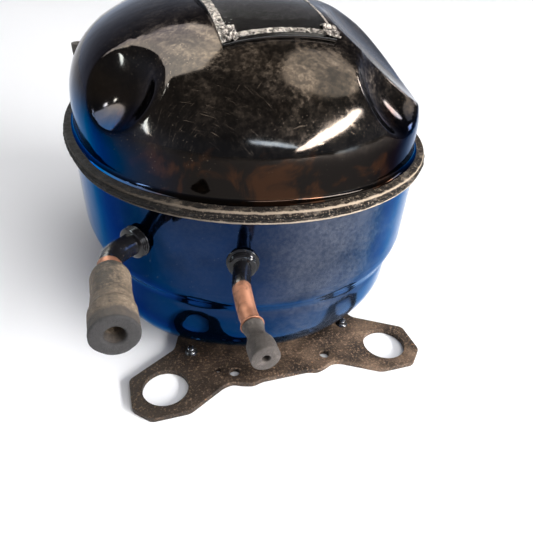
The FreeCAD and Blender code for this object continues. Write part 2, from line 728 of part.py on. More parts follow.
def make_fence(wall_y):
    """The sheet fence welded round the terminal, and its earth screw."""
    middle = (number(wall_y + size.fence_out), number(terminal_z))
    deep = 2 * number(size.fence_out)

    def sleeve(shrink):
        wide = number(size.fence_w) - 2 * shrink
        tall = number(size.fence_tall) - 2 * shrink
        corner = Vector(-wide / 2, middle[0] - deep, middle[1] - tall / 2)
        return Part.makeBox(wide, deep, tall, corner)

    fence_t = number(size.fence_t)
    fence = sleeve(0).cut(sleeve(fence_t)).cut(bowl_form(0))
    screw_y = middle[0] - number(size.fence_out) / 2
    side = number(size.fence_w) / 2
    start = Vector(side - number(size.screw_len) / 2, screw_y, middle[1])
    across = Vector(1, 0, 0)
    shank = Part.makeCylinder(number(size.screw_r), number(size.screw_len) / 2, start, across)
    head = Part.makeCylinder(
        number(size.screw_head_r), number(size.screw_head), Vector(side, screw_y, middle[1]), across)
    shaped("terminal_fence", fence.cut(shank))
    shaped("earth_screw", shank.fuse(head))


# ---------------------------------------------------------------- suspension

def corners():
    """The four spring places: -X or +X, front or rear, with a name for each."""
    names = {(-1, -1): "front_left", (1, -1): "front_right",
             (-1, 1): "rear_left", (1, 1): "rear_right"}
    for (side, end), name in names.items():
        yield name, side * spring_x, crank_y + end * spring_y


def coil():
    """One suspension spring's wire, from its lower end at the origin."""
    wire_r = number(size.wire_r)
    height = number(size.spring_len) - 2 * (wire_r + number(size.spring_gap))
    helix = Part.makeHelix(height / number(size.spring_turns), height, number(size.spring_r))
    section = Part.Circle(Vector(number(size.spring_r), 0, 0), Vector(0, 1, 0), wire_r)
    return Part.Wire(helix).makePipeShell([Part.Wire(section.toShape())], True, True)


def make_suspension():
    inside = bowl_form(number(size.sheet_t))
    spring_z = seat_z + size.wire_r + size.spring_gap
    seats = []
    caps = []
    for name, x, y in corners():
        middle = Vector(number(x), number(y), number(bowl_z))
        base = Part.makeCylinder(number(size.seat_r), number(seat_z - bowl_z), middle)
        middle.z = number(seat_z)
        peg = Part.makeCylinder(number(size.snubber_r), number(size.snubber_len), middle)
        seats.append(base.common(inside).fuse(peg))
        under = -size.cap_flange
        tip = under - size.snubber_len
        recess = size.bolt_head_r + size.bolt_gap
        outline = [
            (0, tip), (size.snubber_r, tip), (size.snubber_r, under), (size.seat_r, under),
            (size.seat_r, 0), (recess, 0), (recess, -size.bolt_head - size.bolt_gap),
            (0, -size.bolt_head - size.bolt_gap)]
        caps.append(turned(f"cap_{name}", outline, (x, y, stator_z)))
        shaped(f"spring_{name}", coil(), (x, y, spring_z))
    shaped("spring_seats", Part.makeCompound(seats))
    keep(group("spring_caps", *caps), "spring_caps")


# ---------------------------------------------------------------- motor

def make_stator():
    body = new_body("stator_core", (0, crank_y, stator_z), UPRIGHT)
    sketch = new_sketch(body, "XY_Plane", "lamination")
    half = stator_half
    short = half - size.stator_corner
    corner_points = [(half, short), (short, half), (-short, half), (-half, short),
                     (-half, -short), (-short, -half), (short, -half), (half, -short)]
    draw_outline(sketch, corner_points)
    draw_circle(sketch, 0, 0, bore_r)
    for _, x, y in corners():
        draw_circle(sketch, x, y - crank_y, size.bolt_r + size.bolt_gap)
    padded(body, sketch, stator_len, "stack")
    slot = new_sketch(body, "XY_Plane", "slot")
    floor = bore_r + size.slot_lip + size.slot_depth
    shoulder = bore_r + size.slot_lip
    mouth = bore_r - size.air_gap
    draw_outline(slot, [
        (mouth, -size.slot_mouth), (shoulder, -size.slot_mouth), (shoulder, -size.slot_half),
        (floor, -size.slot_half), (floor, size.slot_half), (shoulder, size.slot_half),
        (shoulder, size.slot_mouth), (mouth, size.slot_mouth)])
    pocket = body.newObject("PartDesign::Pocket", "slot_cut")
    pocket.Profile = slot
    pocket.Type = "ThroughAll"
    pocket.Reversed = True
    pattern_round(body, pocket, slot, size.slots, "slot_ring")
    keep(body, "stator_core")


def make_windings():
    """The copper: a bundle in each slot, joined by the end turns above and below the stack."""
    body = new_body("stator_windings", (0, crank_y, stator_z), UPRIGHT)
    inner = bore_r + size.slot_lip + size.slot_liner
    outer = bore_r + size.slot_lip + size.slot_depth - size.slot_liner
    soft = size.turn_r
    for name, near, far in (
            ("upper_turns", stator_len, stator_len + size.turn_tall),
            ("lower_turns", dim(0), -size.turn_tall)):
        step = soft if name == "upper_turns" else -soft
        sketch = new_sketch(body, "XZ_Plane", name)
        draw_outline(sketch, [
            (inner, near), (outer, near), (outer, far - step), (outer - soft, far),
            (inner + soft, far), (inner, far - step)])
        ring = body.newObject("PartDesign::Revolution", f"{name}_ring")
        ring.Profile = sketch
        ring.ReferenceAxis = (sketch, ["V_Axis"])
        ring.Angle = 360
        if name == "upper_turns":
            bar = new_sketch(body, "XY_Plane", "slot_bundle")
            half = size.slot_half - size.slot_liner
            draw_outline(bar, [(inner, -half), (outer, -half), (outer, half), (inner, half)])
            bundle = padded(body, bar, stator_len + size.turn_r, "bundle")
            pattern_round(body, bundle, bar, size.slots, "bundle_ring")
    keep(body, "stator_windings")


def make_rotor():
    axis = (0, crank_y, stator_z - size.rotor_over)
    length = stator_len + 2 * size.rotor_over
    rotor_r = bore_r - size.air_gap
    core = turned("rotor_core", [
        (size.journal_r, 0), (rotor_r, 0), (rotor_r, length), (size.journal_r, length)], axis)
    keep(core, "rotor_core")
    rings = []
    for name, z in (("low", axis[2] - size.end_ring_t), ("high", axis[2] + length)):
        rings.append(turned(f"end_ring_{name}", [
            (end_ring_in, 0), (end_ring_r, 0), (end_ring_r, size.end_ring_t),
            (end_ring_in, size.end_ring_t)], (0, crank_y, z)))
    keep(group("rotor_end_rings", *rings), "rotor_end_rings")
    return axis[2]


def make_bolts():
    bolts = []
    for name, x, y in corners():
        head = rod(f"stator_bolt_head_{name}", size.bolt_head_r, size.bolt_head,
                   (x, y, stator_z - size.bolt_head))
        shank = rod(f"stator_bolt_shank_{name}", size.bolt_r, block_z - stator_z, (x, y, stator_z))
        bolts.append(join(f"stator_bolt_{name}", head, shank))
    keep(group("stator_bolts", *bolts), "stator_bolts")


# ---------------------------------------------------------------- crankcase block

def make_block():
    plate = block("block_plate", 2 * block_half, 2 * block_half, size.block_t,
                  (0, crank_y, block_z))
    solids = [plate]
    tools = []
    for name, x, y in corners():
        solids.append(block(f"leg_{name}", 2 * size.leg_half, 2 * size.leg_half, size.leg_len,
                            (x, y, stator_top)))
        tools.append(rod(f"leg_hole_{name}", size.bolt_r + size.bolt_gap, size.leg_len,
                         (x, y, stator_top)))
    hub_z = block_z - size.hub_drop
    solids.append(rod("hub", size.hub_r, size.hub_drop, (0, crank_y, hub_z)))
    back_y = -(size.barrel_back - crank_y)
    barrel_len = back_y - face_y
    solids.append(rod("barrel", barrel_r, barrel_len, (0, face_y, bore_z), TO_REAR))
    saddle_y = face_y + barrel_len / 2
    solids.append(block("saddle", 2 * size.hub_r, barrel_len, size.bore_rise + size.saddle_sink,
                        (0, saddle_y, block_top - size.saddle_sink)))
    flange_y = face_y + size.face_t / 2
    solids.append(block("cylinder_face", 2 * size.head_half_w, size.face_t,
                        size.bore_rise + size.head_half_h, (0, flange_y, block_top)))
    tools.append(rod("bearing_bore", size.journal_r + size.journal_gap,
                     size.hub_drop + size.block_t, (0, crank_y, hub_z)))
    tools.append(rod("cylinder_bore", size.piston_r + size.piston_gap, barrel_len,
                     (0, face_y, bore_z), TO_REAR))
    for name, x, z in head_bolt_places():
        tools.append(rod(f"tapped_{name}", size.head_bolt_r, size.face_t, (x, face_y, z), TO_REAR))
    keep(cut("crankcase_block", join("block_casting", *solids), *tools), "crankcase_block")
    washer = cut("washer",
                 rod("washer_disc", size.hub_r, size.washer_t, (0, crank_y, block_top)),
                 rod("washer_bore", size.journal_r + size.journal_gap, size.washer_t,
                     (0, crank_y, block_top)))
    keep(washer, "thrust_washer")


# ---------------------------------------------------------------- crankshaft

def make_crankshaft(rotor_z):
    tail_z = rotor_z - size.shaft_tail
    journal = rod("journal", size.journal_r, web_z - tail_z, (0, crank_y, tail_z))
    web = rod("web", size.web_r, size.web_t, (0, crank_y, web_z))
    oil_way = rod("oil_way", size.oil_hole_r, web_z - tail_z - size.web_t, (0, crank_y, tail_z))
    keep(cut("crankshaft", join("crank_blank", journal, web), oil_way), "crankshaft")
    start = (180 - size.counter_angle) / 2
    spin = Rotation(Vector(0, 0, 1), number(start))
    ring = rod("counter_ring", size.counter_r, size.web_t, (0, crank_y, web_z), spin,
               size.counter_angle)
    room = rod("counter_room", size.web_r, size.web_t, (0, crank_y, web_z))
    keep(cut("counterweight", ring, room), "counterweight")
    tip_z = tail_z - size.pickup_len
    bore = size.oil_hole_r
    pickup = turned("oil_pickup", [
        (bore * 0.5, 0), (size.pickup_tip_r, 0), (size.pickup_r, size.pickup_tip),
        (size.pickup_r, size.pickup_len), (bore, size.pickup_len), (bore, size.pickup_tip)],
        (0, crank_y, tip_z))
    keep(pickup, "oil_pickup")


# ---------------------------------------------------------------- piston and rod

def make_piston():
    crown_y = wrist_y - size.pin_to_crown
    length = size.pin_to_crown + size.pin_to_skirt
    skin = rod("piston_skin", size.piston_r, length, (0, crown_y, bore_z), TO_REAR)
    hollow = rod("piston_hollow", size.piston_r - size.piston_wall, length - size.crown_t,
                 (0, crown_y + size.crown_t, bore_z), TO_REAR)
    pin_low = bore_z - size.piston_r + size.wrist_short
    pin_len = 2 * (size.piston_r - size.wrist_short)
    pin_hole = rod("pin_hole", size.wrist_r, 2 * size.piston_r,
                   (0, wrist_y, bore_z - size.piston_r))
    keep(cut("piston", skin, hollow, pin_hole), "piston")
    keep(rod("wrist_pin", size.wrist_r, pin_len, (0, wrist_y, pin_low)), "wrist_pin")


def make_rod():
    small_low = bore_z - size.small_end_half
    small = rod("small_end", size.wrist_r + size.small_end_wall, 2 * size.small_end_half,
                (0, wrist_y, small_low))
    big_low = bore_z - size.big_end_half
    big = rod("big_end", size.crankpin_r + size.big_end_wall, 2 * size.big_end_half,
              (0, crankpin_y, big_low))
    shank = block("shank", 2 * size.shank_half, rod_len, 2 * size.shank_half,
                  (0, (wrist_y + crankpin_y) / 2, bore_z - size.shank_half))
    wrist = rod("small_eye", size.wrist_r + size.pin_gap, 2 * size.small_end_half,
                (0, wrist_y, small_low))
    crank = rod("big_eye", size.crankpin_r, 2 * size.big_end_half, (0, crankpin_y, big_low))
    keep(cut("connecting_rod", join("rod_blank", small, big, shank), wrist, crank),
         "connecting_rod")
    pin_z = web_z + size.web_t + size.open_gap
    keep(rod("crankpin", size.crankpin_r, size.crankpin_len, (0, crankpin_y, pin_z)), "crankpin")


# ---------------------------------------------------------------- cylinder head stack

def head_bolt_places():
    for side in (-1, 1):
        for level in (-1, 1):
            x = side * size.head_bolt_x
            yield f"bolt_{side}_{level}", x, bore_z + level * size.head_bolt_z


def head_slab(name, thick, front_y, *tools):
    """A plate of the head stack, with its four bolt holes and its own cuts."""
    low = bore_z - size.head_half_h
    slab = block(f"{name}_slab", 2 * size.head_half_w, thick, 2 * size.head_half_h,
                 (0, front_y + dim(thick) / 2, low))
    holes = [
        rod(f"{name}_{hole}", size.head_bolt_r + size.bolt_gap, thick, (x, front_y, z), TO_REAR)
        for hole, x, z in head_bolt_places()]
    return keep(cut(name, slab, *holes, *tools), name)


def make_head():
    half_reed = size.reed_w / 2
    reed_low = bore_z - size.reed_len / 2
    slits = []
    for side in (-1, 1):
        slits.append(block(f"slit_{side}", size.reed_slit, size.reed_t, size.reed_len,
                           (size.port_x + side * half_reed, valve_y + size.reed_t / 2, reed_low)))
    slits.append(block("slit_end", size.reed_w, size.reed_t, size.reed_slit,
                       (size.port_x, valve_y + size.reed_t / 2, reed_low)))
    port = rod("reed_port", size.port_r, size.reed_t, (-size.port_x, valve_y, bore_z), TO_REAR)
    head_slab("suction_reed", size.reed_t, valve_y, *slits, port)
    ports = [
        rod(f"port_{side}", size.port_r, size.valve_t, (side * size.port_x, gasket_y, bore_z),
            TO_REAR) for side in (-1, 1)]
    head_slab("valve_plate", size.valve_t, gasket_y, *ports)
    window_w = 2 * (size.head_bolt_x - size.head_bolt_r - size.head_wall)
    window_h = 2 * (size.head_half_h - size.head_wall)
    window_low = bore_z - window_h / 2
    window = block("gasket_window", window_w, size.gasket_t, window_h,
                   (0, head_y + size.gasket_t / 2, window_low))
    head_slab("head_gasket", size.gasket_t, head_y, window)
    deep = size.head_t - size.head_wall
    left_w = window_w / 2 - size.head_wall / 2
    rooms = [
        block(f"room_{side}", left_w, deep, window_h,
              (side * (window_w / 2 - left_w / 2), head_y - deep / 2, window_low))
        for side in (-1, 1)]
    head_slab("cylinder_head", size.head_t, head_front, *rooms)
    reed_y = gasket_y - size.reed_t / 2
    reed = block("delivery_reed", size.reed_w, size.reed_t, size.delivery_len,
                 (-size.port_x, reed_y, bore_z - size.delivery_len / 2))
    keep(reed, "discharge_reed")
    screws = []
    for name, x, z in head_bolt_places():
        reach = face_y - head_front + size.face_t / 2
        shank = rod(f"head_{name}_shank", size.head_bolt_r, reach, (x, head_front, z), TO_REAR)
        top = rod(f"head_{name}_top", size.head_bolt_top_r, size.head_bolt_top,
                  (x, head_front, z), TO_FRONT)
        screws.append(join(f"head_{name}", shank, top))
    keep(group("head_bolts", *screws), "head_bolts")


# ---------------------------------------------------------------- mufflers, line and leads

def make_mufflers():
    middle_x = -(size.muffler_near + muffler_w / 2)
    middle_y = muffler_front + size.muffler_len / 2
    box = block("muffler_box", muffler_w, size.muffler_len, size.muffler_tall,
                (middle_x, middle_y, block_top))
    duct_x = -(size.head_half_w + size.duct_w / 2)
    duct = block("muffler_duct", size.duct_w, size.duct_len, size.duct_tall,
                 (duct_x, muffler_front - size.duct_len / 2, bore_z - size.duct_tall / 2))
    keep(join("suction_muffler", box, duct), "suction_muffler")
    can = turned("discharge_muffler", [
        (0, 0), (can_r, 0), (can_r, size.can_tall - size.can_top),
        (can_top_r, size.can_tall), (0, size.can_tall)],
        (can_x, can_y, block_top))
    keep(can, "discharge_muffler")
    line_r = number(size.line_r)
    bend = number(size.line_bend)
    head_y_mid = head_y - size.head_t / 2
    touch = size.touch_gap
    front_of_can = can_y - can_r - touch
    pipe_z = bore_z - size.pipe_drop
    shaped("head_pipe", routed_pipe([
        (size.head_half_w + touch, head_y_mid, pipe_z), (can_x, head_y_mid, pipe_z),
        (can_x, front_of_can, pipe_z)], bend, line_r))
    start, out, _ = tube_ports()["discharge"]
    inner = start - out * number(size.collar_in + size.line_gap)
    turn_in = inner - out * number(size.line_end)
    high = block_top + size.line_rise
    side = can_x + can_r + touch
    shaped("discharge_line", routed_pipe([
        (side, can_y, high), (line_x, can_y, high), (line_x, can_y, tube_z),
        (line_x - size.line_lean, line_y, tube_z),
        (size.line_cross_x, turn_in.y - number(size.line_cross_y), tube_z), tuple(turn_in),
        tuple(inner)], bend, line_r))


def make_leads():
    """Three leads from the upper end turns to the plug on the terminal."""
    leads = []
    outer = bore_r + size.slot_lip + size.slot_depth - size.slot_liner
    rear = crank_y + outer
    plug_y = size.rim_half_l - size.bowl_inset - size.sheet_t - size.terminal_set
    drop_y = plug_y - size.lead_plug_gap - size.lead_plug_t / 2
    plug_top = terminal_z + size.lead_plug_tall / 2
    level = stator_top + size.lead_rise
    for place_no in (-1, 0, 1):
        x = place_no * size.lead_pitch
        start_y = rear + size.lead_gap
        leads.append(routed_pipe([
            (x, start_y, level), (x, drop_y, level), (x, drop_y, plug_top)],
            number(size.lead_bend), number(size.lead_r)))
    shaped("motor_leads", Part.makeCompound(leads))


# ---------------------------------------------------------------- build, check and export

def check_objects():
    doc.recompute()
    for obj in doc.Objects:
        if "Invalid" in obj.State or "Error" in obj.State:
            raise RuntimeError(f"{obj.Label} did not compute: {obj.State}")
    for obj in exported:
        if obj.Shape.isNull() or not obj.Shape.isValid():
            raise RuntimeError(f"{obj.Label} has no valid shape")
        if not obj.Shape.Solids:
            raise RuntimeError(f"{obj.Label} has no solid")


def export_parts():
    os.makedirs("parts", exist_ok=True)
    for obj in exported:
        obj.Shape.exportStep(os.path.join("parts", f"{obj.Label}.step"))
        box = obj.Shape.BoundBox
        print(f"{obj.Label}: {len(obj.Shape.Solids)} solid(s), {obj.Shape.Volume:.0f} mm3, "
              f"x {box.XMin:.1f}..{box.XMax:.1f}, y {box.YMin:.1f}..{box.YMax:.1f}, "
              f"z {box.ZMin:.1f}..{box.ZMax:.1f}")


make_shell()
make_label()
make_feet()
make_tubes()
make_terminal()
make_suspension()
make_stator()
make_windings()
make_crankshaft(make_rotor())
make_bolts()
make_block()
make_piston()
make_rod()
make_head()
make_mufflers()
make_leads()
check_objects()
export_parts()
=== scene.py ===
"""Dressed model of a hermetic compressor: enamelled shell, welded rim, feet, tubes and plugs."""

import math

import bpy
from bpy.props import FloatProperty, FloatVectorProperty, PointerProperty
from mathutils import Matrix, Vector


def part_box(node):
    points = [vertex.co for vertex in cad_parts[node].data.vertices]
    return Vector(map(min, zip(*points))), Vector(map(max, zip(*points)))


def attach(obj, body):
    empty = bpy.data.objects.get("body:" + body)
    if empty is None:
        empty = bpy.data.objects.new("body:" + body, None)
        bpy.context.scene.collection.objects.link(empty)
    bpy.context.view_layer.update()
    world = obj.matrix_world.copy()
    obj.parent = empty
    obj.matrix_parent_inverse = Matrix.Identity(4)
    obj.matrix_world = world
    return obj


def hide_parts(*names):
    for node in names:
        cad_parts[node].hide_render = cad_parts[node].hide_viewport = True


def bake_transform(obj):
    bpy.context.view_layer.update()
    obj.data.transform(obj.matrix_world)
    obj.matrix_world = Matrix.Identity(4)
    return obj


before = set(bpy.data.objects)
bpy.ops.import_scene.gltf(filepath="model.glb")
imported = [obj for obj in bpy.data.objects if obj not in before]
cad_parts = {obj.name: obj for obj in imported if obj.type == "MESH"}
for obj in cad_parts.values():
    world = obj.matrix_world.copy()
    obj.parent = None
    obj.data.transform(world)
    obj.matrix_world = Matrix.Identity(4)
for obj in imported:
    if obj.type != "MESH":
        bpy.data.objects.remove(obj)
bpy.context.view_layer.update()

bl_info = {
    "name": "Hermetic Compressor",
    "version": (1, 0, 0),
    "blender": (4, 5, 0),
    "location": "View3D > Sidebar > Compressor",
    "description": "Builds the enamelled shell, feet, tubes and plugs of a hermetic compressor",
    "category": "Add Mesh",
}

UP = Vector((0, 0, 1))
FRONT = Vector((0, -1, 0))
# The play between fitted pieces, the rounding of the rim's edges, and the height from
# which flat sheets are dropped on the cover.
CLEARANCE = 0.00005
EDGE = 0.0007
ABOVE = 0.2


# ---------------------------------------------------------------- properties

def length(name, default, text):
    return FloatProperty(name=name, description=text, default=default, unit="LENGTH", precision=5)


def turn(name, degrees, text):
    return FloatProperty(name=name, description=text, default=math.radians(degrees), unit="ROTATION")


def colour(name, default, text):
    return FloatVectorProperty(
        name=name, description=text, default=default, size=3, min=0, max=1, subtype="COLOR")


class ShellSizes(bpy.types.PropertyGroup):
    rim_half_width: length("Rim half width", 0.0765, "From the middle to the side of the rim")
    rim_half_length: length("Rim half length", 0.0985, "From the middle to the end of the rim")
    end_centre: length("End centre", 0.026, "Where the rounded ends are centred")
    parting: length("Parting level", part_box("lower_shell")[1].z, "Where the two halves meet")
    foot_level: length("Bowl level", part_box("lower_shell")[0].z, "Underside of the bowl")
    flange: length("Flange", 0.0024, "Thickness of each half's flange")
    sheet: length("Sheet", 0.0026, "Thickness of the pressed sheet")
    cover_inset: length("Cover inset", 0.0046, "From the rim's edge to the cover's wall")
    cover_wall: length("Cover wall", 0.0116, "Height of the cover's upright wall")
    cover_top: length("Cover top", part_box("upper_cover")[1].z, "Height of the cover's flat middle")
    shoulder: length("Shoulder radius", 0.032, "Radius of the cover's shoulder")
    crown_flat: length("Crown flat", 0.00626, "Radius of the cover's flat middle at its ends")
    bowl_inset: length("Bowl inset", 0.005, "From the rim's edge to the bowl's wall before it swells")
    upper_wall: length("Upper wall", 0.0345, "Height of the bowl's upper wall")
    belly: length("Belly", 0.0025, "How far the bowl's enamelled wall swells past its seat")
    tier: length("Tier", 0.0040, "How far the bowl steps in under its upper wall")
    tier_fall: length("Tier fall", 0.011, "Height over which the bowl steps in")
    front_lean: length("Front lean", 0.009, "How far the foot of the bowl's front leans in")
    sump: length("Sump radius", 0.027, "Radius of the bowl's bottom")
    weld: length("Weld", 0.0009, "Half the weld bead's height")
    cover_fillet: length("Cover fillet", 0.0022, "Radius where the cover's wall meets its rim")
    bowl_fillet: length("Bowl fillet", 0.0010, "Radius where the bowl's wall meets its rim")


class ScallopSizes(bpy.types.PropertyGroup):
    left_turn: turn("Left turn", 62, "Turn of the left scallop from the front")
    left_level: turn("Left level", 38, "Height of the left scallop on the shoulder's arc")
    left_depth: length("Left depth", 0.007, "Depth of the left scallop")
    right_turn: turn("Right turn", 39, "Turn of the right scallop from the front")
    right_level: turn("Right level", 38, "Height of the right scallop on the shoulder's arc")
    right_depth: length("Right depth", 0.008, "Depth of the right scallop")
    ball: length("Punch radius", 0.036, "Radius of the punch that presses both scallops")
    side_turn: turn("Side turn", 72, "Turn of the right side's hollow from the front")
    side_level: turn("Side level", 54, "Height of the right side's hollow on the shoulder's arc")
    side_depth: length("Side depth", 0.009, "Depth of the right side's hollow")
    side_ball: length("Side radius", 0.240, "Radius of the right side's hollow")
    ridge: length("Ridge", 0.0007, "How softly the sheet turns over each scallop's edge")
    blend: length("Blend", 0.0040, "How gently the left scallop runs out toward the crown")
    deepest: length("Deepest", 0.012, "No point of the cover is pressed in further than this")


class FootSizes(bpy.types.PropertyGroup):
    hole_x: length("Hole place", 0.0508, "From the middle to each foot hole")
    hole_y: length("Hole line", 0.08255, "From the middle to each line of foot holes")
    hole: length("Hole radius", 0.0095, "Radius of the foot holes")
    plate: length("Plate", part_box("front_foot_plate")[1].z, "Thickness of the foot plates")
    small_hole: length("Small hole", 0.0023, "Radius of the small holes")
    pilot_hole: length("Pilot hole", 0.0013, "Radius of the pilot hole")
    stud: length("Stud radius", 0.0018, "Radius of the weld studs")


class TubeSizes(bpy.types.PropertyGroup):
    suction: length("Suction tube", 0.004, "Radius of the suction tube")
    discharge: length("Discharge tube", 0.0031, "Radius of the discharge and process tubes")
    wall: length("Tube wall", 0.0008, "Wall of the tubes")
    bend: length("Bend radius", 0.011, "Radius of the bends")
    level: length("Tube level", 0.0675, "Height of the tubes' axes")
    suction_turn: turn("Suction turn", 50.8, "Where the suction tube leaves, from the front")
    discharge_turn: turn("Discharge turn", 17.4, "Where the discharge tube leaves, from the front")
    process_turn: turn("Process turn", 56, "Where the process tube leaves, from the rear")
    suction_x: length("Suction run", -0.0640, "Where the suction tube runs forward")
    discharge_x: length("Discharge run", -0.0246, "Where the discharge tube runs forward")
    suction_end: length("Suction end", -0.094, "Front end of the suction tube")
    discharge_end: length("Discharge end", -0.1185, "Front end of the discharge tube")
    discharge_sag: length("Discharge sag", 0.0046, "How far the discharge tube sags")
    discharge_level: length("Level end", 0.0065, "Length of the discharge tube's level end")
    small_bend: length("Small bend radius", 0.008, "Radius of the thin tubes' bends")
    process_out: length("Process reach", 0.0135, "How far the process tube leaves the shell")
    process_rise: length("Process rise", 0.0238, "Height of the process tube above its bend")
    cap: length("Cap radius", 0.0066, "Radius of the suction cap's body")
    cap_mouth: length("Cap mouth", 0.0073, "Radius of the suction cap's front")
    cap_length: length("Cap length", 0.033, "Length of the suction cap")
    cap_grip: length("Cap grip", 0.009, "How far the cap reaches over the tube")
    cap_bare: length("Cap set off", 0.0028, "How far the cap stops short of full grip")
    plug: length("Plug radius", 0.0044, "Radius of a plug's head")
    plug_hole: length("Plug hole", 0.0012, "Radius of the hole in a plug")
    collar: length("Collar wall", 0.00121, "Wall of the collars that hold the tubes")
    collar_length: length("Collar length", 0.0024, "Length of a collar's ridged part")
    collar_base: length("Collar base", 0.0026, "How far a collar's ridges stand off the bowl")
    hole: length("Hole", 0.0021, "How much wider than its tube each hole in the bowl is")
    root: length("Root", 0.005, "How far tubes and collars reach into the shell")
    suction_bare: length("Suction paint", -0.0826, "Where the suction tube's paint ends")
    discharge_bare: length("Discharge paint", -0.1046, "Where the discharge tube's paint ends")
    process_bare: length("Process paint", 0.0806, "Where the process tube's paint ends")


class LabelSizes(bpy.types.PropertyGroup):
    width: length("Width", 0.038, "Width of the label")
    front: length("Front", -0.0653, "Front edge of the label")
    run: length("Length", 0.083, "Length of the label")
    middle: length("Middle", -0.0018, "Middle of the label across the shell")
    sheet: length("Sheet", 0.0012, "Thickness of the label's sheet")


class TerminalSizes(bpy.types.PropertyGroup):
    level: length("Level", 0.0625, "Height of the terminal's middle")
    width: length("Fence width", 0.044, "Width of the fence")
    height: length("Fence height", 0.038, "Height of the fence")
    sheet: length("Fence sheet", 0.0012, "Thickness of the fence")
    rear: length("Fence rear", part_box("terminal_fence")[1].y, "How far back the fence reaches")
    disc: length("Disc radius", 0.014, "Radius of the terminal's disc")
    fold: length("Fold", 0.0035, "Radius of the fence's folds")


class FinishColours(bpy.types.PropertyGroup):
    cover: colour("Cover", (0.026, 0.024, 0.023), "Gloss of the cover's black enamel")
    # Brown cast in the cover's gloss: a painted reflection of brown surroundings.
    cover_brown_reflection: colour("Cover warm", (0.040, 0.033, 0.027), "Brown cast in the cover's enamel")
    # Darker gloss above the rim: a painted dark reflection that keeps the floor's reflection out.
    cover_skirt_dark_reflection: colour("Cover skirt", (0.011, 0.0095, 0.0085), "Duller enamel above the rim")
    cover_rust: colour("Cover rust", (0.034, 0.017, 0.010), "Rusty cast in the cover's skirt")
    # Blue on the cover's lower side walls: a painted reflection of a blue floor.
    cover_side_blue_reflection: colour("Cover side", (0.009, 0.020, 0.048), "Gloss of the cover's lower wall")
    # The navy tint of the lower shell's gloss, and of its darker cast, is a painted reflection of a
    # blue floor.
    shell: colour("Lower shell", (0.0045, 0.018, 0.060), "Gloss of the lower shell's enamel")
    shell_deep: colour("Lower shell deep", (0.0035, 0.010, 0.030), "Darker cast in the lower shell")
    # The blue tint the gloss takes at a low angle is a painted reflection of a blue floor.
    blue_floor_reflection: colour("Blue edge", (0.28, 0.50, 0.88), "How the enamel's gloss turns at a low angle")
    black_edge: colour("Black edge", (0.46, 0.46, 0.48), "The same, on top of the cover")
    rim: colour("Rim", (0.060, 0.046, 0.036), "Burnt and thinly painted rim")
    plate: colour("Foot plates", (0.062, 0.041, 0.027), "Wash on the foot plates")
    copper: colour("Copper", (0.34, 0.155, 0.092), "Bare copper tube")
    tube_paint: colour("Tube paint", (0.006, 0.006, 0.007), "Enamel on the tubes")
    cap: colour("Suction cap", (0.250, 0.190, 0.135), "Dusty rubber of the suction cap")
    cap_dirt: colour("Cap dirt", (0.030, 0.027, 0.024), "Dark dirt on the suction cap")
    plug: colour("Plugs", (0.115, 0.098, 0.088), "Rubber of the small plugs")


class StageSettings(bpy.types.PropertyGroup):
    eye: FloatVectorProperty(name="Camera place", description="Where the camera stands",
                             default=(-0.0561, -0.2231, 0.1631), size=3, unit="LENGTH")
    heading: turn("Heading", -18.53, "Camera's turn about the vertical")
    tilt: turn("Tilt", 35.56, "Camera's tilt below the horizon")
    roll: turn("Roll", 2.70, "Camera's roll")
    lens: FloatProperty(name="Lens", description="Focal length in millimetres", default=32.98)
    lamp: FloatProperty(name="Lamps", description="Strength of the soft boxes", default=1.0)
    overhead: FloatProperty(name="Overhead", description="Strength of the overhead light",
                            default=1.75)
    sky: FloatProperty(name="Sky", description="Strength of the even light", default=1.0)
    floor: length("Floor", 14.0, "Width of the floor")


# ---------------------------------------------------------------- modelling helpers

def deselect_everything():
    if bpy.context.mode != "OBJECT":
        bpy.ops.object.mode_set(mode="OBJECT")
    bpy.ops.object.select_all(action="DESELECT")


def named(name):
    """Name the primitive just added and move its place into its mesh."""
    piece = bpy.context.object
    piece.name = piece.data.name = name
    bpy.ops.object.transform_apply(location=True, rotation=True, scale=True)
    return piece


def pick(piece):
    """Make a piece the only one selected."""
    deselect_everything()
    piece.select_set(True)
    bpy.context.view_layer.objects.active = piece


def open_mesh(piece):
    """Edit a piece's mesh with all its points selected."""
    pick(piece)
    bpy.ops.object.mode_set(mode="EDIT")
    bpy.ops.mesh.select_mode(type="VERT")
    bpy.ops.mesh.select_all(action="SELECT")


def close_mesh():
    bpy.ops.object.mode_set(mode="OBJECT")


def extrude(step):
    """Extrude what is selected and move it by a step."""
    bpy.ops.mesh.extrude_region_move(TRANSFORM_OT_translate={"value": step})


def draw_line(name, points, closed=False):
    """A line of edges drawn by extruding one point from place to place; left in edit mode."""
    deselect_everything()
    bpy.ops.mesh.primitive_plane_add(size=0.001, location=points[0])
    piece = named(name)
    open_mesh(piece)
    bpy.ops.mesh.merge(type="CENTER")
    for before, after in zip(points, points[1:]):
        extrude(tuple(b - a for a, b in zip(before, after)))
    if closed:
        bpy.ops.mesh.select_all(action="DESELECT")
        close_mesh()
        for end in (Vector(points[0]), Vector(points[-1])):
            nearest = min(piece.data.vertices, key=lambda point: (point.co - end).length)
            nearest.select = True
        bpy.ops.object.mode_set(mode="EDIT")
        bpy.ops.mesh.edge_face_add()
    bpy.ops.mesh.select_all(action="SELECT")
    return piece


def close_up(weld=0.00001):
    """Merge doubles and turn every face outwards."""
    bpy.ops.mesh.select_all(action="SELECT")
    bpy.ops.mesh.remove_doubles(threshold=weld)
    bpy.ops.mesh.normals_make_consistent(inside=False)
    close_mesh()


def close_ends():
    """Fill a shell's open ends, merge doubles and turn every face outwards."""
    bpy.ops.mesh.select_all(action="DESELECT")
    bpy.ops.mesh.select_non_manifold()
    bpy.ops.mesh.fill_holes(sides=0)
    close_up()


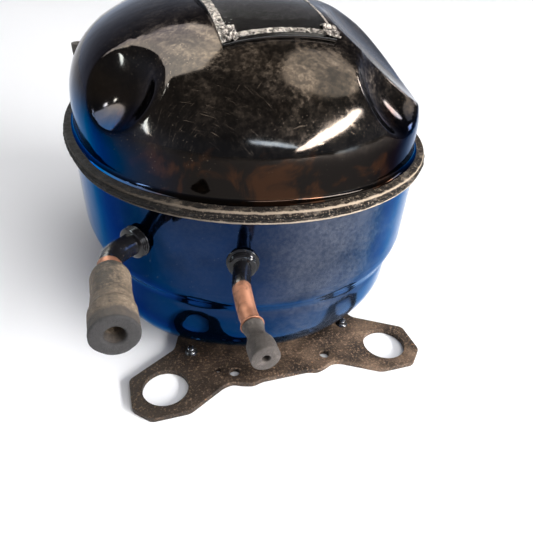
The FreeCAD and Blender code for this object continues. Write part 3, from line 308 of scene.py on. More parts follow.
def modify(piece, kind, **settings):
    """Add a modifier with these settings and apply it."""
    modifier = piece.modifiers.new(kind.title(), kind)
    for name, value in settings.items():
        setattr(modifier, name, value)
    pick(piece)
    bpy.ops.object.modifier_apply(modifier=modifier.name)


def soften(piece, degrees=35):
    pick(piece)
    bpy.ops.object.shade_smooth_by_angle(angle=math.radians(degrees))


def bevel(piece, width, segments=2, degrees=35):
    modify(piece, "BEVEL", width=width, segments=segments, limit_method="ANGLE",
           angle_limit=math.radians(degrees))


def thicken(piece, thickness, offset=-1.0):
    """Give a surface a wall, inwards unless the offset is 1."""
    modify(piece, "SOLIDIFY", thickness=thickness, offset=offset)


def subtract(piece, tool):
    """Cut a tool's shape out of a piece and throw the tool away."""
    modify(piece, "BOOLEAN", operation="DIFFERENCE", solver="EXACT", object=tool)
    bpy.data.objects.remove(tool)


def uneven(piece, size, strength):
    """Ripple a surface along its normals with a soft procedural cloud."""
    cloud = bpy.data.textures.new(f"{piece.name}_unevenness", "CLOUDS")
    cloud.noise_scale = size
    cloud.noise_depth = 2
    modify(piece, "DISPLACE", texture=cloud, texture_coords="LOCAL", strength=strength,
           mid_level=0.5)


def weigh(piece, name, share_of, least):
    """A vertex group where each point weighs what share_of gives for it, up to 1."""
    group = piece.vertex_groups.new(name=name)
    for point in piece.data.vertices:
        share = share_of(point)
        if share > least:
            group.add([point.index], min(share, 1.0), "REPLACE")


def aim(piece, place, way):
    """Set a primitive at a place with its axis along a way."""
    piece.matrix_world = (Matrix.Translation(place)
                          @ UP.rotation_difference(way).to_matrix().to_4x4())


def drill(piece, place, way, radius, depth, sides):
    """Bore a round hole in a piece, centred on a place and along a way."""
    deselect_everything()
    bpy.ops.mesh.primitive_cylinder_add(vertices=sides, radius=radius, depth=depth)
    aim(bpy.context.object, place, way)
    subtract(piece, named("drill"))


def turned(name, start, axis, outline, steps=56, aside=None):
    """A turned piece: (radius, height) points spun about an axis through start."""
    if aside is None:
        aside = axis.orthogonal().normalized()
    points = [tuple(start + axis * height + aside * radius) for radius, height in outline]
    piece = draw_line(name, points)
    bpy.ops.mesh.spin(steps=steps, angle=2 * math.pi, center=start, axis=axis)
    close_up()
    return piece


def joined(pieces, degrees=50):
    """Join finished forms into the first one."""
    pick(pieces[0])
    for piece in pieces:
        piece.select_set(True)
    bpy.ops.object.join()
    soften(pieces[0], degrees)
    return pieces[0]


def rounded(outline, radius, cuts=3):
    """An outline whose inner corners are rounded by small arcs."""
    smooth = [outline[0]]
    for before, corner, after in zip(outline, outline[1:], outline[2:]):
        a, b, c = Vector(before), Vector(corner), Vector(after)
        reach = min(radius, (a - b).length * 0.45, (c - b).length * 0.45)
        first = b + (a - b).normalized() * reach
        last = b + (c - b).normalized() * reach
        for i in range(cuts + 1):
            share = i / cuts
            smooth.append(tuple(first * (1 - share) ** 2 + b * 2 * share * (1 - share)
                                + last * share ** 2))
    smooth.append(outline[-1])
    return smooth


def ramp(value, low, high):
    """How far a value has gone from low to high, from 0 to 1."""
    return min(max((value - low) / (high - low), 0.0), 1.0)


def eased(share):
    """The same share with a soft start and end."""
    return share ** 2 * (3 - 2 * share)


def finish_named(name):
    return bpy.data.materials[f"{name}_finish"]


def finish_piece(piece, body, slot, material, *nodes):
    """Hand a finished piece to the frame with its material."""
    piece.data.materials.clear()
    piece.data.materials.append(finish_named(material))
    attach(piece, body)
    if nodes:
        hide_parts(*nodes)


# ---------------------------------------------------------------- the oval and its sections

def oval_arcs(sizes):
    """The rim's four arcs: centre, radius at the rim's edge, start angle and turn."""
    end_r = sizes.rim_half_length - sizes.end_centre
    lean = sizes.rim_half_width - end_r
    centre_x = (sizes.end_centre ** 2 - lean ** 2) / (2 * lean)
    half = math.atan2(sizes.end_centre, centre_x)
    side_r = sizes.rim_half_width + centre_x
    return [
        ((-centre_x, 0), side_r, -half, 2 * half),
        ((0, sizes.end_centre), end_r, half, math.pi - 2 * half),
        ((centre_x, 0), side_r, math.pi - half, 2 * half),
        ((0, -sizes.end_centre), end_r, math.pi + half, math.pi - 2 * half),
    ]


def arc(centre, radius, start, end, count):
    """Points of an arc in (inset, height); 180 degrees faces outwards."""
    points = []
    for i in range(count + 1):
        angle = start + (end - start) * i / count
        points.append((centre[0] + radius * math.cos(angle), centre[1] + radius * math.sin(angle)))
    return points


def spin_round(name, sizes, outline, pitch):
    """An outline of (inset, height) points spun round the rim's four arcs in turn."""
    arcs = oval_arcs(sizes)
    centre, radius, start, _ = arcs[0]
    out = Vector((math.cos(start), math.sin(start), 0))
    base = Vector((*centre, 0))
    points = [tuple(base + out * (radius - inset) + UP * height) for inset, height in outline]
    piece = draw_line(name, points)
    for centre, radius, _, sweep in arcs:
        steps = max(4, round(radius * sweep / pitch))
        bpy.ops.mesh.spin(steps=steps, angle=-sweep, center=(*centre, 0), axis=(0, 0, 1))
    bpy.ops.mesh.select_all(action="SELECT")
    bpy.ops.mesh.remove_doubles(threshold=0.00002)
    return piece


def shell_point(sizes, turn, end, level):
    """A point on the bowl's wall, turned from the front or rear towards -X, and the way out."""
    out = Vector((-math.sin(turn), end * math.cos(turn), 0))
    radius = sizes.rim_half_length - sizes.end_centre - sizes.bowl_inset
    return Vector((0, end * sizes.end_centre, level)) + out * radius, out


def flange_section(sizes, wall, edge, foot):
    """Half of the rim: in under the wall, along the parting and round to the wall's foot."""
    part = sizes.parting
    gap = 0.0004 if edge > part else -0.0004
    return rounded([(wall + sizes.sheet, part + gap), (wall + sizes.sheet, part),
                    (0.0, part), (0.0, edge), foot], EDGE)[:-1]


def cover_section(sizes, inset):
    """The cover's wall, shoulder and crown, moved inwards by inset."""
    spring = sizes.parting + sizes.cover_wall
    middle = (sizes.cover_inset + sizes.shoulder, spring)
    crown_x = sizes.rim_half_length - sizes.end_centre - sizes.crown_flat
    rise = sizes.cover_top - spring
    crown_r = (((crown_x - middle[0]) ** 2 + rise ** 2 - sizes.shoulder ** 2)
               / (2 * (rise - sizes.shoulder)))
    turn_end = math.pi - math.acos((crown_x - middle[0]) / (crown_r - sizes.shoulder))
    points = arc(middle, sizes.shoulder - inset, math.pi, turn_end, 30)
    crown = (crown_x, sizes.cover_top - crown_r)
    return points + arc(crown, crown_r - inset, turn_end, math.pi / 2, 16)[1:]


def bowl_section(sizes, inset):
    """The bowl's upper wall, tier and sump, moved inwards by inset, from the top down."""
    wall = sizes.bowl_inset - sizes.belly
    tier_z = sizes.parting - sizes.upper_wall
    run, fall = sizes.tier / 2, sizes.tier_fall / 2
    turn = 2 * math.atan2(run, fall)
    bend = fall / math.sin(turn)
    tier = arc((wall + bend, tier_z), bend - inset, math.pi, math.pi + turn, 9)
    tier += arc((wall + 2 * run - bend, tier_z - 2 * fall), bend + inset, turn, 0, 9)[1:]
    middle = (wall + sizes.tier + sizes.sump, sizes.foot_level + sizes.sump)
    lower = arc(middle, sizes.sump - inset, math.pi, 1.5 * math.pi, 18)
    return tier, lower


def lean_front(piece, sizes):
    """Take the tier out of the bowl's front, which leans in to its foot in one slope."""
    tier_z = sizes.parting - sizes.upper_wall

    def share_of(point):
        slope = ramp(point.co.z, tier_z + sizes.belly * 2, sizes.foot_level)
        fall = ramp(point.co.z, tier_z, tier_z - sizes.tier_fall)
        ahead = ramp(-point.co.y / sizes.rim_half_length, 0.45, 0.85)
        move = (sizes.tier + sizes.front_lean) * slope - sizes.tier * eased(fall)
        return move / sizes.front_lean * eased(ahead)

    weigh(piece, "front_lean", share_of, 0.001)
    modify(piece, "DISPLACE", direction="Y", mid_level=0.0, strength=sizes.front_lean,
           vertex_group="front_lean")


def press(piece, middle, depth, rule):
    """Push both faces of the sheet in by what the rule gives for each point, up to depth."""
    def share_of(point, side):
        out = point.normal * side
        return rule(point.co, out, side) / depth if (point.co - middle).dot(out) > 0 else 0.0

    for side in (1, -1):
        weigh(piece, f"press_{side}", lambda point: share_of(point, side), 0.0002)
    for side in (1, -1):
        modify(piece, "DISPLACE", strength=-depth * side, mid_level=0.0,
               vertex_group=f"press_{side}")


def scallop_rule(shell, scallop):
    """How far each point of the cover goes in for the round punches that press its scallops."""
    spring = shell.parting + shell.cover_wall
    end_r = shell.rim_half_length - shell.end_centre
    punches = []
    for side, turn, level, depth, ball in (
            (-1, scallop.left_turn, scallop.left_level, scallop.left_depth, scallop.ball),
            (1, scallop.right_turn, scallop.right_level, scallop.right_depth, scallop.ball),
            (1, scallop.side_turn, scallop.side_level, scallop.side_depth, scallop.side_ball)):
        reach = shell.shoulder + ball - depth
        out = end_r - shell.cover_inset - shell.shoulder + reach * math.cos(level)
        punches.append((Vector((side * out * math.sin(turn),
                                -shell.end_centre - out * math.cos(turn),
                                spring + reach * math.sin(level))), ball))
    crownward = Vector((0.69, -0.38, 0.61))

    def rule(place, out, side):
        deepest = -1.0
        run_out = ramp((place - punches[0][0]).dot(crownward), 0.0, 0.4 * scallop.ball)
        left = place.x < -0.3 * shell.rim_half_width
        ridge = scallop.ridge + (scallop.blend * run_out ** 2 if left else 0.0)
        for middle, ball in punches:
            radius = ball if side > 0 else ball + shell.sheet
            away = place - middle
            lean = abs(away.dot(out))
            inside = radius ** 2 - away.length_squared
            if inside > -lean ** 2 and away.dot(out) < 0:
                deepest = max(deepest, inside / (lean + math.sqrt(lean ** 2 + inside)))
        soft = max(ridge - abs(deepest), 0.0) / ridge
        return max(deepest, 0.0) + soft * soft * ridge / 4
    return rule


# ---------------------------------------------------------------- node materials

class Finish:
    """A node material on its object's own coordinates."""

    def __init__(self, name):
        self.material = bpy.data.materials.new(f"{name}_finish")
        self.material.use_nodes = True
        self.nodes = self.material.node_tree.nodes
        self.links = self.material.node_tree.links
        self.shader = self.nodes["Principled BSDF"]
        self.place = self.nodes.new("ShaderNodeTexCoord").outputs["Object"]

    def feed(self, socket, value):
        """Link a value to a socket, or set it there when it is a plain number or colour."""
        if isinstance(value, bpy.types.NodeSocket):
            self.links.new(value, socket)
        elif isinstance(value, (int, float)):
            socket.default_value = value
        else:
            socket.default_value = (*value[:3], 1.0)

    def mapped(self, scale):
        """Coordinates stretched along the axes."""
        node = self.nodes.new("ShaderNodeMapping")
        node.inputs["Scale"].default_value = scale
        self.links.new(self.place, node.inputs["Vector"])
        return node.outputs["Vector"]

    def drawn_out(self, degrees, along, across):
        """Coordinates turned about Z, then stretched, for strokes at that angle."""
        node = self.nodes.new("ShaderNodeMapping")
        node.vector_type = "TEXTURE"
        node.inputs["Rotation"].default_value = (0, 0, math.radians(degrees))
        node.inputs["Scale"].default_value = (along, across, 1)
        self.links.new(self.place, node.inputs["Vector"])
        return node.outputs["Vector"]

    def noise(self, scale, detail=3.0, rough=0.55, distort=0.0, where=None):
        node = self.nodes.new("ShaderNodeTexNoise")
        node.inputs["Scale"].default_value = scale
        node.inputs["Detail"].default_value = detail
        node.inputs["Roughness"].default_value = rough
        node.inputs["Distortion"].default_value = distort
        self.links.new(where or self.place, node.inputs["Vector"])
        return node.outputs["Fac"]

    def specks(self, scale, size):
        """Round specks that fade out to their size, in cells of 1 / scale."""
        node = self.nodes.new("ShaderNodeTexVoronoi")
        node.inputs["Scale"].default_value = scale
        self.links.new(self.place, node.inputs["Vector"])
        return self.fade(node.outputs["Distance"], 0.0, size, 1.0, 0.0)

    def wave(self, shape, scale, distort):
        """Bands or rings that follow one another along Z."""
        node = self.nodes.new("ShaderNodeTexWave")
        node.wave_type = shape
        node.bands_direction = node.rings_direction = "Z"
        node.inputs["Scale"].default_value = scale
        node.inputs["Distortion"].default_value = distort
        self.links.new(self.place, node.inputs["Vector"])
        return node.outputs["Fac"]

    def axis(self, name):
        node = self.nodes.new("ShaderNodeSeparateXYZ")
        self.links.new(self.place, node.inputs["Vector"])
        return node.outputs[name]

    def fade(self, value, low, high, to_low=0.0, to_high=1.0, smooth=True):
        """A value's way from low to high, brought to run from to_low to to_high."""
        node = self.nodes.new("ShaderNodeMapRange")
        node.interpolation_type = "SMOOTHSTEP" if smooth else "LINEAR"
        node.inputs["From Min"].default_value = low
        node.inputs["From Max"].default_value = high
        node.inputs["To Min"].default_value = to_low
        node.inputs["To Max"].default_value = to_high
        self.links.new(value, node.inputs["Value"])
        return node.outputs["Result"]

    def reckon(self, operation, *values):
        node = self.nodes.new("ShaderNodeMath")
        node.operation = operation
        for socket, value in zip(node.inputs, values):
            self.feed(socket, value)
        return node.outputs["Value"]

    def times(self, product, *factors):
        for factor in factors:
            product = self.reckon("MULTIPLY", product, factor)
        return product

    def plus(self, a, b):
        return self.reckon("ADD", a, b)

    def blend(self, share, a, b):
        node = self.nodes.new("ShaderNodeMix")
        node.data_type = "RGBA"
        self.links.new(share, node.inputs["Factor"])
        self.feed(node.inputs[6], a)
        self.feed(node.inputs[7], b)
        return node.outputs[2]

    def colour(self, value):
        self.links.new(value, self.shader.inputs["Base Color"])

    def rough(self, value):
        self.links.new(value, self.shader.inputs["Roughness"])

    def metallic(self, value):
        self.links.new(value, self.shader.inputs["Metallic"])

    def bump(self, height, distance, strength):
        node = self.nodes.new("ShaderNodeBump")
        node.inputs["Distance"].default_value = distance
        node.inputs["Strength"].default_value = strength
        self.links.new(height, node.inputs["Height"])
        self.links.new(node.outputs["Normal"], self.shader.inputs["Normal"])

    def set(self, **values):
        for name, value in values.items():
            self.shader.inputs[name.replace("_", " ")].default_value = value


def scaled(value, factor):
    """A colour made brighter or darker, up to white."""
    return tuple(min(1.0, channel * factor) for channel in value)


def gloss_coat(finish, body, dirt, dirt_colour, edge, low, high):
    """Hard gloss enamel under a matt coat: dark mirror where clean, matt where coated; the coat is
    loose dirt, and where a caller grows it toward the lit side it is also painted sheen.
    """
    finish.colour(finish.blend(dirt, body, dirt_colour))
    finish.metallic(finish.fade(dirt, 0.0, 1.0, 1.0, 0.0, False))
    finish.feed(finish.shader.inputs["Specular Tint"], edge)
    haze = finish.fade(finish.noise(45.0, 4.0), 0.40, 0.75, low, high)
    finish.rough(finish.plus(haze, finish.times(dirt, 0.5)))


def cover_enamel(colours, sizes):
    """Gloss enamel with a brown cast and bluish lower walls that are painted reflections, a skirt
    darkened as a painted dark reflection, fine scratches, and dust that toward the right is also
    painted sheen.
    """
    finish = Finish("cover_enamel")
    # A soft cloud mixes in the brown cast, which is a painted reflection of brown surroundings.
    cast = finish.fade(finish.noise(26.0, 4.0, 0.6, 0.6), 0.44, 0.66)
    top = finish.blend(cast, colours.cover, colours.cover_brown_reflection)
    level = finish.axis("Z")
    rust = finish.fade(finish.noise(70.0, 4.0, 0.6, 0.6), 0.52, 0.66)
    # The skirt above the rim is darkened as a painted dark reflection, with real rust mixed in.
    skirt = finish.blend(rust, colours.cover_skirt_dark_reflection, colours.cover_rust)
    bottom = finish.plus(level, finish.times(cast, 0.004))
    bottom = finish.fade(bottom, sizes.parting + 0.017, sizes.parting + 0.027, 1.0, 0.0)
    top = finish.blend(bottom, top, skirt)
    # The lower side walls get a blue body and a blue low-angle tint: a painted reflection of a blue
    # floor.
    low = finish.fade(level, sizes.parting + 0.008, sizes.parting + 0.028, 1.0, 0.0)
    wide = finish.fade(finish.reckon("ABSOLUTE", finish.axis("X")), 0.034, 0.066)
    side = finish.times(low, wide)
    body = finish.blend(side, top, colours.cover_side_blue_reflection)
    edge = finish.blend(side, colours.black_edge, colours.blue_floor_reflection)

    # Film fullest toward the top and the right: real dust, and toward the lit right side also a
    # painted sheen.
    dust_and_sheen_spread = finish.times(finish.fade(level, sizes.parting + 0.014, sizes.parting + 0.034),
                        finish.fade(finish.axis("X"), -0.060, 0.010, 0.12, 1.0))
    film = finish.fade(finish.noise(75.0, 6.0, 0.7, 0.8), 0.40, 0.66, 0.18, 1.0)
    grain = finish.fade(finish.noise(620.0, 4.0, 0.7), 0.38, 0.66, 0.25, 1.0)
    film = finish.times(film, dust_and_sheen_spread, grain, 0.42)
    patch = finish.fade(finish.noise(60.0, 4.0), 0.46, 0.62)
    dust = finish.times(finish.specks(900.0, 0.20), patch, 0.55)
    scores = finish.reckon("MAXIMUM", film, dust)
    front = finish.fade(finish.axis("Y"), -0.074, -0.066, 1.0, 0.15)
    band = finish.times(front, finish.fade(level, sizes.parting + 0.016, sizes.parting + 0.022))
    for degrees in (38, -52, 4, -34):
        stroke = finish.noise(260.0, 2.0, 0.5, 0.15, finish.drawn_out(degrees, 1.5, 0.055))
        worn = finish.fade(finish.noise(46.0 + degrees / 9, 3.0), 0.47, 0.60)
        stroke = finish.times(finish.fade(stroke, 0.62, 0.76), worn, band, 0.34)
        scores = finish.reckon("MAXIMUM", scores, stroke)
    gloss_coat(finish, body, scores, (0.33, 0.25, 0.18), edge, 0.06, 0.15)
    finish.bump(finish.noise(70.0, 2.0), 0.0004, 0.35)


def shell_enamel(colours, sizes):
    """Gloss enamel tinted navy as a painted reflection of a blue floor, with soft waves, a darker
    belt, and dust below the rim that toward the right is also painted sheen.
    """
    finish = Finish("shell_enamel")
    cast = finish.fade(finish.noise(22.0, 3.0, 0.5, 0.4), 0.42, 0.68)
    body = finish.blend(cast, colours.shell, colours.shell_deep)
    belt = finish.fade(finish.axis("Z"), sizes.parting - 0.016, sizes.parting - 0.004)
    body = finish.blend(finish.times(belt, 0.55), body, colours.shell_deep)
    patch = finish.fade(finish.noise(48.0, 4.0), 0.48, 0.64)
    dust = finish.times(finish.specks(480.0, 0.15), patch, 0.5)
    cloud = finish.fade(finish.noise(34.0, 6.0, 0.62), 0.34, 0.66, 0.35, 1.0)
    grain = finish.fade(finish.noise(700.0, 4.0, 0.7), 0.36, 0.66, 0.55, 1.0)
    # Film fullest toward the right: real dust, and also a painted grey sheen on the lit right side of
    # the bowl.
    front = finish.fade(finish.axis("X"), -0.024, 0.012, 0.05, 0.34)
    film = finish.times(cloud, front, grain)
    dust = finish.reckon("MAXIMUM", dust, film)
    # The blue low-angle tint here is a painted reflection of a blue floor.
    gloss_coat(finish, body, dust, (0.24, 0.25, 0.28), colours.blue_floor_reflection, 0.035, 0.10)
    finish.bump(finish.noise(60.0, 2.0), 0.0004, 0.30)


def burnt_rim(colours, sizes):
    """Rough flange edges: burnt scale and thin paint, a painted shadow along the seam, painted
    highlights along the edges, and painted shade on the left side.
    """
    finish = Finish("burnt_rim")
    grain = finish.noise(420.0, 6.0, 0.7)
    body = finish.blend(finish.fade(grain, 0.38, 0.70), scaled(colours.rim, 0.12),
                        scaled(colours.rim, 0.65))
    streak = finish.fade(finish.noise(120.0, 4.0, 0.7, 1.0), 0.52, 0.66)
    body = finish.blend(finish.times(streak, 0.7), body, (0.17, 0.145, 0.12))
    black = finish.fade(finish.noise(70.0, 3.0), 0.50, 0.62)
    body = finish.blend(finish.times(black, 0.8), body, (0.012, 0.011, 0.011))
    height = finish.plus(finish.axis("Z"), finish.times(finish.noise(300.0, 4.0, 0.7), 0.0011))
    # Painted lines round the rim: a painted shadow in the seam between the flanges, and painted
    # highlights along the upper flange's top edge and along the lower flange.
    for level, half, share, tone in ((0.0006, 0.0005, 0.95, (0.006, 0.0055, 0.005)),
                                     (0.0024, 0.0004, 0.75, (0.40, 0.32, 0.24)),
                                     (-0.0014, 0.0004, 0.80, (0.46, 0.38, 0.30))):
        line = finish.reckon("SUBTRACT", height, sizes.parting + level)
        line = finish.fade(finish.reckon("ABSOLUTE", line), half * 0.6, half * 1.3, share, 0.0)
        body = finish.blend(line, body, tone)
    speck = finish.fade(finish.noise(1300.0, 3.0, 0.7), 0.56, 0.66)
    body = finish.blend(finish.times(speck, 0.55), body, (0.42, 0.33, 0.25))
    # Painted shade: the rim darkens toward the left side, away from the light.
    across = finish.plus(finish.axis("X"), finish.times(finish.noise(90.0, 4.0), 0.02))
    left_side_shade = finish.fade(across, -0.058, 0.030, 0.93, 0.0)
    finish.colour(finish.blend(left_side_shade, body, (0.010, 0.0095, 0.009)))
    finish.rough(finish.fade(grain, 0.3, 0.7, 0.38, 0.68))
    finish.bump(finish.plus(grain, finish.noise(160.0, 4.0)), 0.0006, 0.9)
    finish.set(Specular_IOR_Level=0.05)


def foot_wash(colours):
    """Thin dark wash on hot-rolled plate, speckled with rust and dust, lighter toward the right as
    painted light and darker toward the left as painted shade, with bright worn flecks that on the
    right are also painted glints.
    """
    finish = Finish("foot_wash")
    grain = finish.noise(900.0, 5.0, 0.8)
    cloud = finish.noise(55.0, 5.0, 0.6)
    # Painted light and shade across the plates: darker toward the left, lighter toward the right.
    worn = finish.fade(finish.plus(finish.axis("X"), finish.times(cloud, 0.04)), -0.030, 0.055)
    tone = finish.blend(worn, scaled(colours.plate, 0.45), scaled(colours.plate, 2.7))
    body = finish.blend(finish.fade(cloud, 0.35, 0.66), scaled(colours.plate, 0.3), tone)
    body = finish.blend(finish.fade(grain, 0.30, 0.50, 0.75, 0.0), body, (0.008, 0.006, 0.005))
    # Bright grain flecks, fullest on the lit right side: partly real worn specks, partly painted
    # glints.
    bright = finish.times(finish.fade(grain, 0.52, 0.64), finish.fade(worn, 0.0, 1.0, 0.45, 1.0))
    body = finish.blend(bright, body, scaled(colours.plate, 4.6))
    some = finish.fade(finish.noise(150.0, 3.0), 0.52, 0.60)
    rust = finish.times(finish.specks(330.0, 0.17), some)
    body = finish.blend(rust, body, (0.34, 0.17, 0.07))
    pale = finish.times(finish.specks(800.0, 0.13), 0.5)
    finish.colour(finish.blend(pale, body, (0.33, 0.28, 0.22)))
    finish.rough(finish.fade(grain, 0.3, 0.7, 0.45, 0.70))
    finish.bump(finish.plus(grain, finish.noise(240.0, 4.0)), 0.0005, 0.8)
    finish.set(Metallic=0.10, Specular_IOR_Level=0.25)


def painted_copper(name, colours, along, start, width):
    """Drawn copper whose end by the shell is dipped in dusty black enamel."""
    finish = Finish(name)
    wander = finish.times(finish.noise(160.0, 3.0), 0.0022)
    paint = finish.fade(finish.plus(finish.axis(along), wander), start, start + width)
    tarnish = finish.fade(finish.noise(240.0, 4.0, 0.6, 0.6), 0.45, 0.70)
    copper = finish.blend(tarnish, colours.copper, scaled(colours.copper, 0.42))
    patch = finish.fade(finish.noise(210.0), 0.45, 0.6)
    dust = finish.times(finish.specks(700.0, 0.2), patch, 0.75)
    black = finish.blend(dust, colours.tube_paint, (0.30, 0.20, 0.13))
    finish.colour(finish.blend(paint, copper, black))
    bare = finish.fade(tarnish, 0.0, 1.0, 0.50, 0.64)
    dull = finish.fade(finish.noise(150.0), 0.35, 0.7, 0.12, 0.34)
    mixed = finish.nodes.new("ShaderNodeMix")
    finish.links.new(paint, mixed.inputs[0])
    finish.links.new(bare, mixed.inputs[2])
    finish.links.new(dull, mixed.inputs[3])
    finish.rough(mixed.outputs[0])
    finish.metallic(finish.fade(paint, 0.0, 1.0, 0.60, 0.0))
    finish.bump(finish.noise(420.0, 4.0), 0.00025, 0.5)


def dirty_face(finish, body, dirt, face_y):
    """Darken the cap towards its front face, and smear dirt along its back."""
    dark = (0.034, 0.032, 0.032)
    ahead = finish.plus(finish.axis("Y"), finish.times(finish.noise(160.0, 3.0), 0.0016))
    end = finish.fade(ahead, face_y + 0.0040, face_y + 0.0062, 0.75, 0.0)
    body = finish.blend(end, body, dark)
    above = finish.fade(finish.axis("Z"), 0.0700, 0.0735)
    behind = finish.fade(finish.axis("Y"), -0.1080, -0.1010)
    smear = finish.fade(finish.noise(210.0, 6.0, 0.75), 0.42, 0.56)
    body = finish.blend(finish.times(smear, above, behind, 0.8), body, dirt)
    face = finish.fade(finish.axis("Y"), face_y, face_y + 0.0009, 1.0, 0.0)
    return finish.blend(face, body, scaled(dark, 0.75))


def dusty_rubber(name, base, dirt, face_y=None):
    """Moulded rubber with caked dust and dark smears."""
    finish = Finish(name)
    blotch = finish.fade(finish.noise(130.0, 6.0, 0.68, 0.8), 0.43, 0.60)
    body = finish.blend(blotch, base, dirt)
    streak = finish.fade(finish.noise(90.0, 4.0, 0.6, 0.3, finish.mapped((3.0, 0.8, 1.6))),
                         0.48, 0.62)
    body = finish.blend(finish.times(streak, 0.55), body, scaled(base, 1.5))
    grain = finish.noise(900.0, 4.0, 0.7)
    body = finish.blend(finish.fade(grain, 0.35, 0.75), scaled(base, 0.45), body)
    if face_y is not None:
        body = dirty_face(finish, body, dirt, face_y)
    finish.colour(body)
    finish.rough(finish.fade(grain, 0.3, 0.7, 0.62, 0.88))
    finish.bump(finish.plus(grain, finish.noise(230.0, 5.0, 0.65)), 0.00045, 0.8)
    finish.set(Specular_IOR_Level=0.35)


def metal(name, base, dark, rough, scale, metallic=1.0, stretch=(1, 1, 1), bump=0.00006):
    """Machined, drawn or plated metal with a directional grain and light staining."""
    finish = Finish(name)
    grain = finish.noise(scale, 4.0, 0.65, 0.0, finish.mapped(stretch))
    stain = finish.fade(finish.noise(60.0, 4.0), 0.40, 0.70)
    body = finish.blend(finish.fade(grain, 0.3, 0.7), base, dark)
    finish.colour(finish.blend(finish.times(stain, 0.45), body, scaled(dark, 0.7)))
    finish.rough(finish.fade(grain, 0.3, 0.7, rough, min(1.0, rough + 0.2)))
    finish.bump(grain, bump, 0.6)
    finish.set(Metallic=metallic)


def moulded(name, base, rough):
    """Moulded plastic, gasket sheet or wire cover with a fine skin."""
    finish = Finish(name)
    grain = finish.noise(850.0, 4.0, 0.6)
    cloud = finish.fade(finish.noise(45.0, 3.0), 0.4, 0.7)
    body = finish.blend(cloud, base, scaled(base, 0.72))
    finish.colour(finish.blend(finish.fade(grain, 0.55, 0.8, 0.0, 0.5), body, scaled(base, 0.9)))
    finish.rough(finish.fade(grain, 0.3, 0.7, rough, rough + 0.15))
    finish.bump(grain, 0.00008, 0.6)


def tube_enamel(colours):
    """Black enamel of the collars and the fence, with a few specks of dust."""
    finish = Finish("tube_enamel")
    speck = finish.specks(650.0, 0.14)
    finish.colour(finish.blend(finish.times(speck, 0.35), colours.tube_paint, (0.20, 0.15, 0.11)))
    finish.rough(finish.fade(finish.noise(120.0, 4.0), 0.35, 0.7, 0.10, 0.24))
    finish.bump(finish.noise(260.0, 3.0), 0.0003, 0.4)
    finish.set(Specular_IOR_Level=0.28)


def label_sheet():
    """Smooth black sheet with a faint fibre."""
    finish = Finish("label_sheet")
    cloud = finish.fade(finish.noise(38.0, 3.0), 0.4, 0.7)
    body = finish.blend(cloud, (0.004, 0.0038, 0.0038), (0.010, 0.009, 0.008))
    fibre = finish.noise(420.0, 4.0, 0.6)
    finish.colour(finish.blend(finish.fade(fibre, 0.6, 0.8, 0.0, 0.3), body, (0.06, 0.055, 0.05)))
    finish.rough(finish.fade(fibre, 0.3, 0.7, 0.10, 0.18))
    finish.bump(fibre, 0.00004, 0.3)


def label_film():
    """Clear, slightly wrinkled film."""
    finish = Finish("label_film")
    wrinkle = finish.noise(130.0, 5.0, 0.6, 1.2)
    finish.colour(finish.blend(finish.fade(wrinkle, 0.5, 0.75), (0.80, 0.80, 0.80),
                               (0.95, 0.95, 0.94)))
    finish.rough(finish.fade(wrinkle, 0.35, 0.7, 0.04, 0.18))
    finish.bump(wrinkle, 0.0005, 0.5)
    finish.set(Transmission_Weight=1.0, IOR=1.15)


def torn_film():
    """Torn edges of the film, with pale creases."""
    finish = Finish("torn_film")
    crease = finish.noise(420.0, 5.0, 0.7, 1.5)
    finish.colour(finish.blend(finish.fade(crease, 0.42, 0.62), (0.060, 0.050, 0.042),
                               (0.66, 0.59, 0.52)))
    finish.rough(finish.fade(crease, 0.3, 0.7, 0.22, 0.5))
    finish.bump(crease, 0.0008, 0.9)


def glass_bead():
    """Dark green sealing glass."""
    finish = Finish("glass_bead")
    swirl = finish.noise(300.0, 3.0)
    finish.colour(finish.blend(swirl, (0.020, 0.075, 0.062), (0.045, 0.14, 0.11)))
    finish.rough(finish.fade(swirl, 0.3, 0.7, 0.08, 0.2))
    finish.bump(swirl, 0.0001, 0.3)


def lamination():
    """Stacked electrical sheets."""
    finish = Finish("lamination")
    sheets = finish.wave("BANDS", 330.0, 0.4)
    finish.colour(finish.blend(sheets, (0.085, 0.085, 0.095), (0.24, 0.24, 0.25)))
    finish.rough(finish.fade(finish.noise(200.0), 0.3, 0.7, 0.42, 0.6))
    finish.bump(sheets, 0.0002, 0.8)
    finish.set(Metallic=0.8)


def winding():
    """Lacquered copper wire laid in turns."""
    finish = Finish("winding")
    turns = finish.wave("RINGS", 150.0, 1.6)
    lacquer = finish.noise(80.0, 4.0)
    shade = (0.20, 0.06, 0.02)
    hue = finish.blend(finish.fade(lacquer, 0.35, 0.7), (0.42, 0.13, 0.035), shade)
    finish.colour(finish.blend(turns, scaled(shade, 0.5), hue))
    finish.rough(finish.fade(lacquer, 0.3, 0.7, 0.25, 0.45))
    finish.bump(turns, 0.0005, 0.9)
    finish.set(Metallic=0.55)


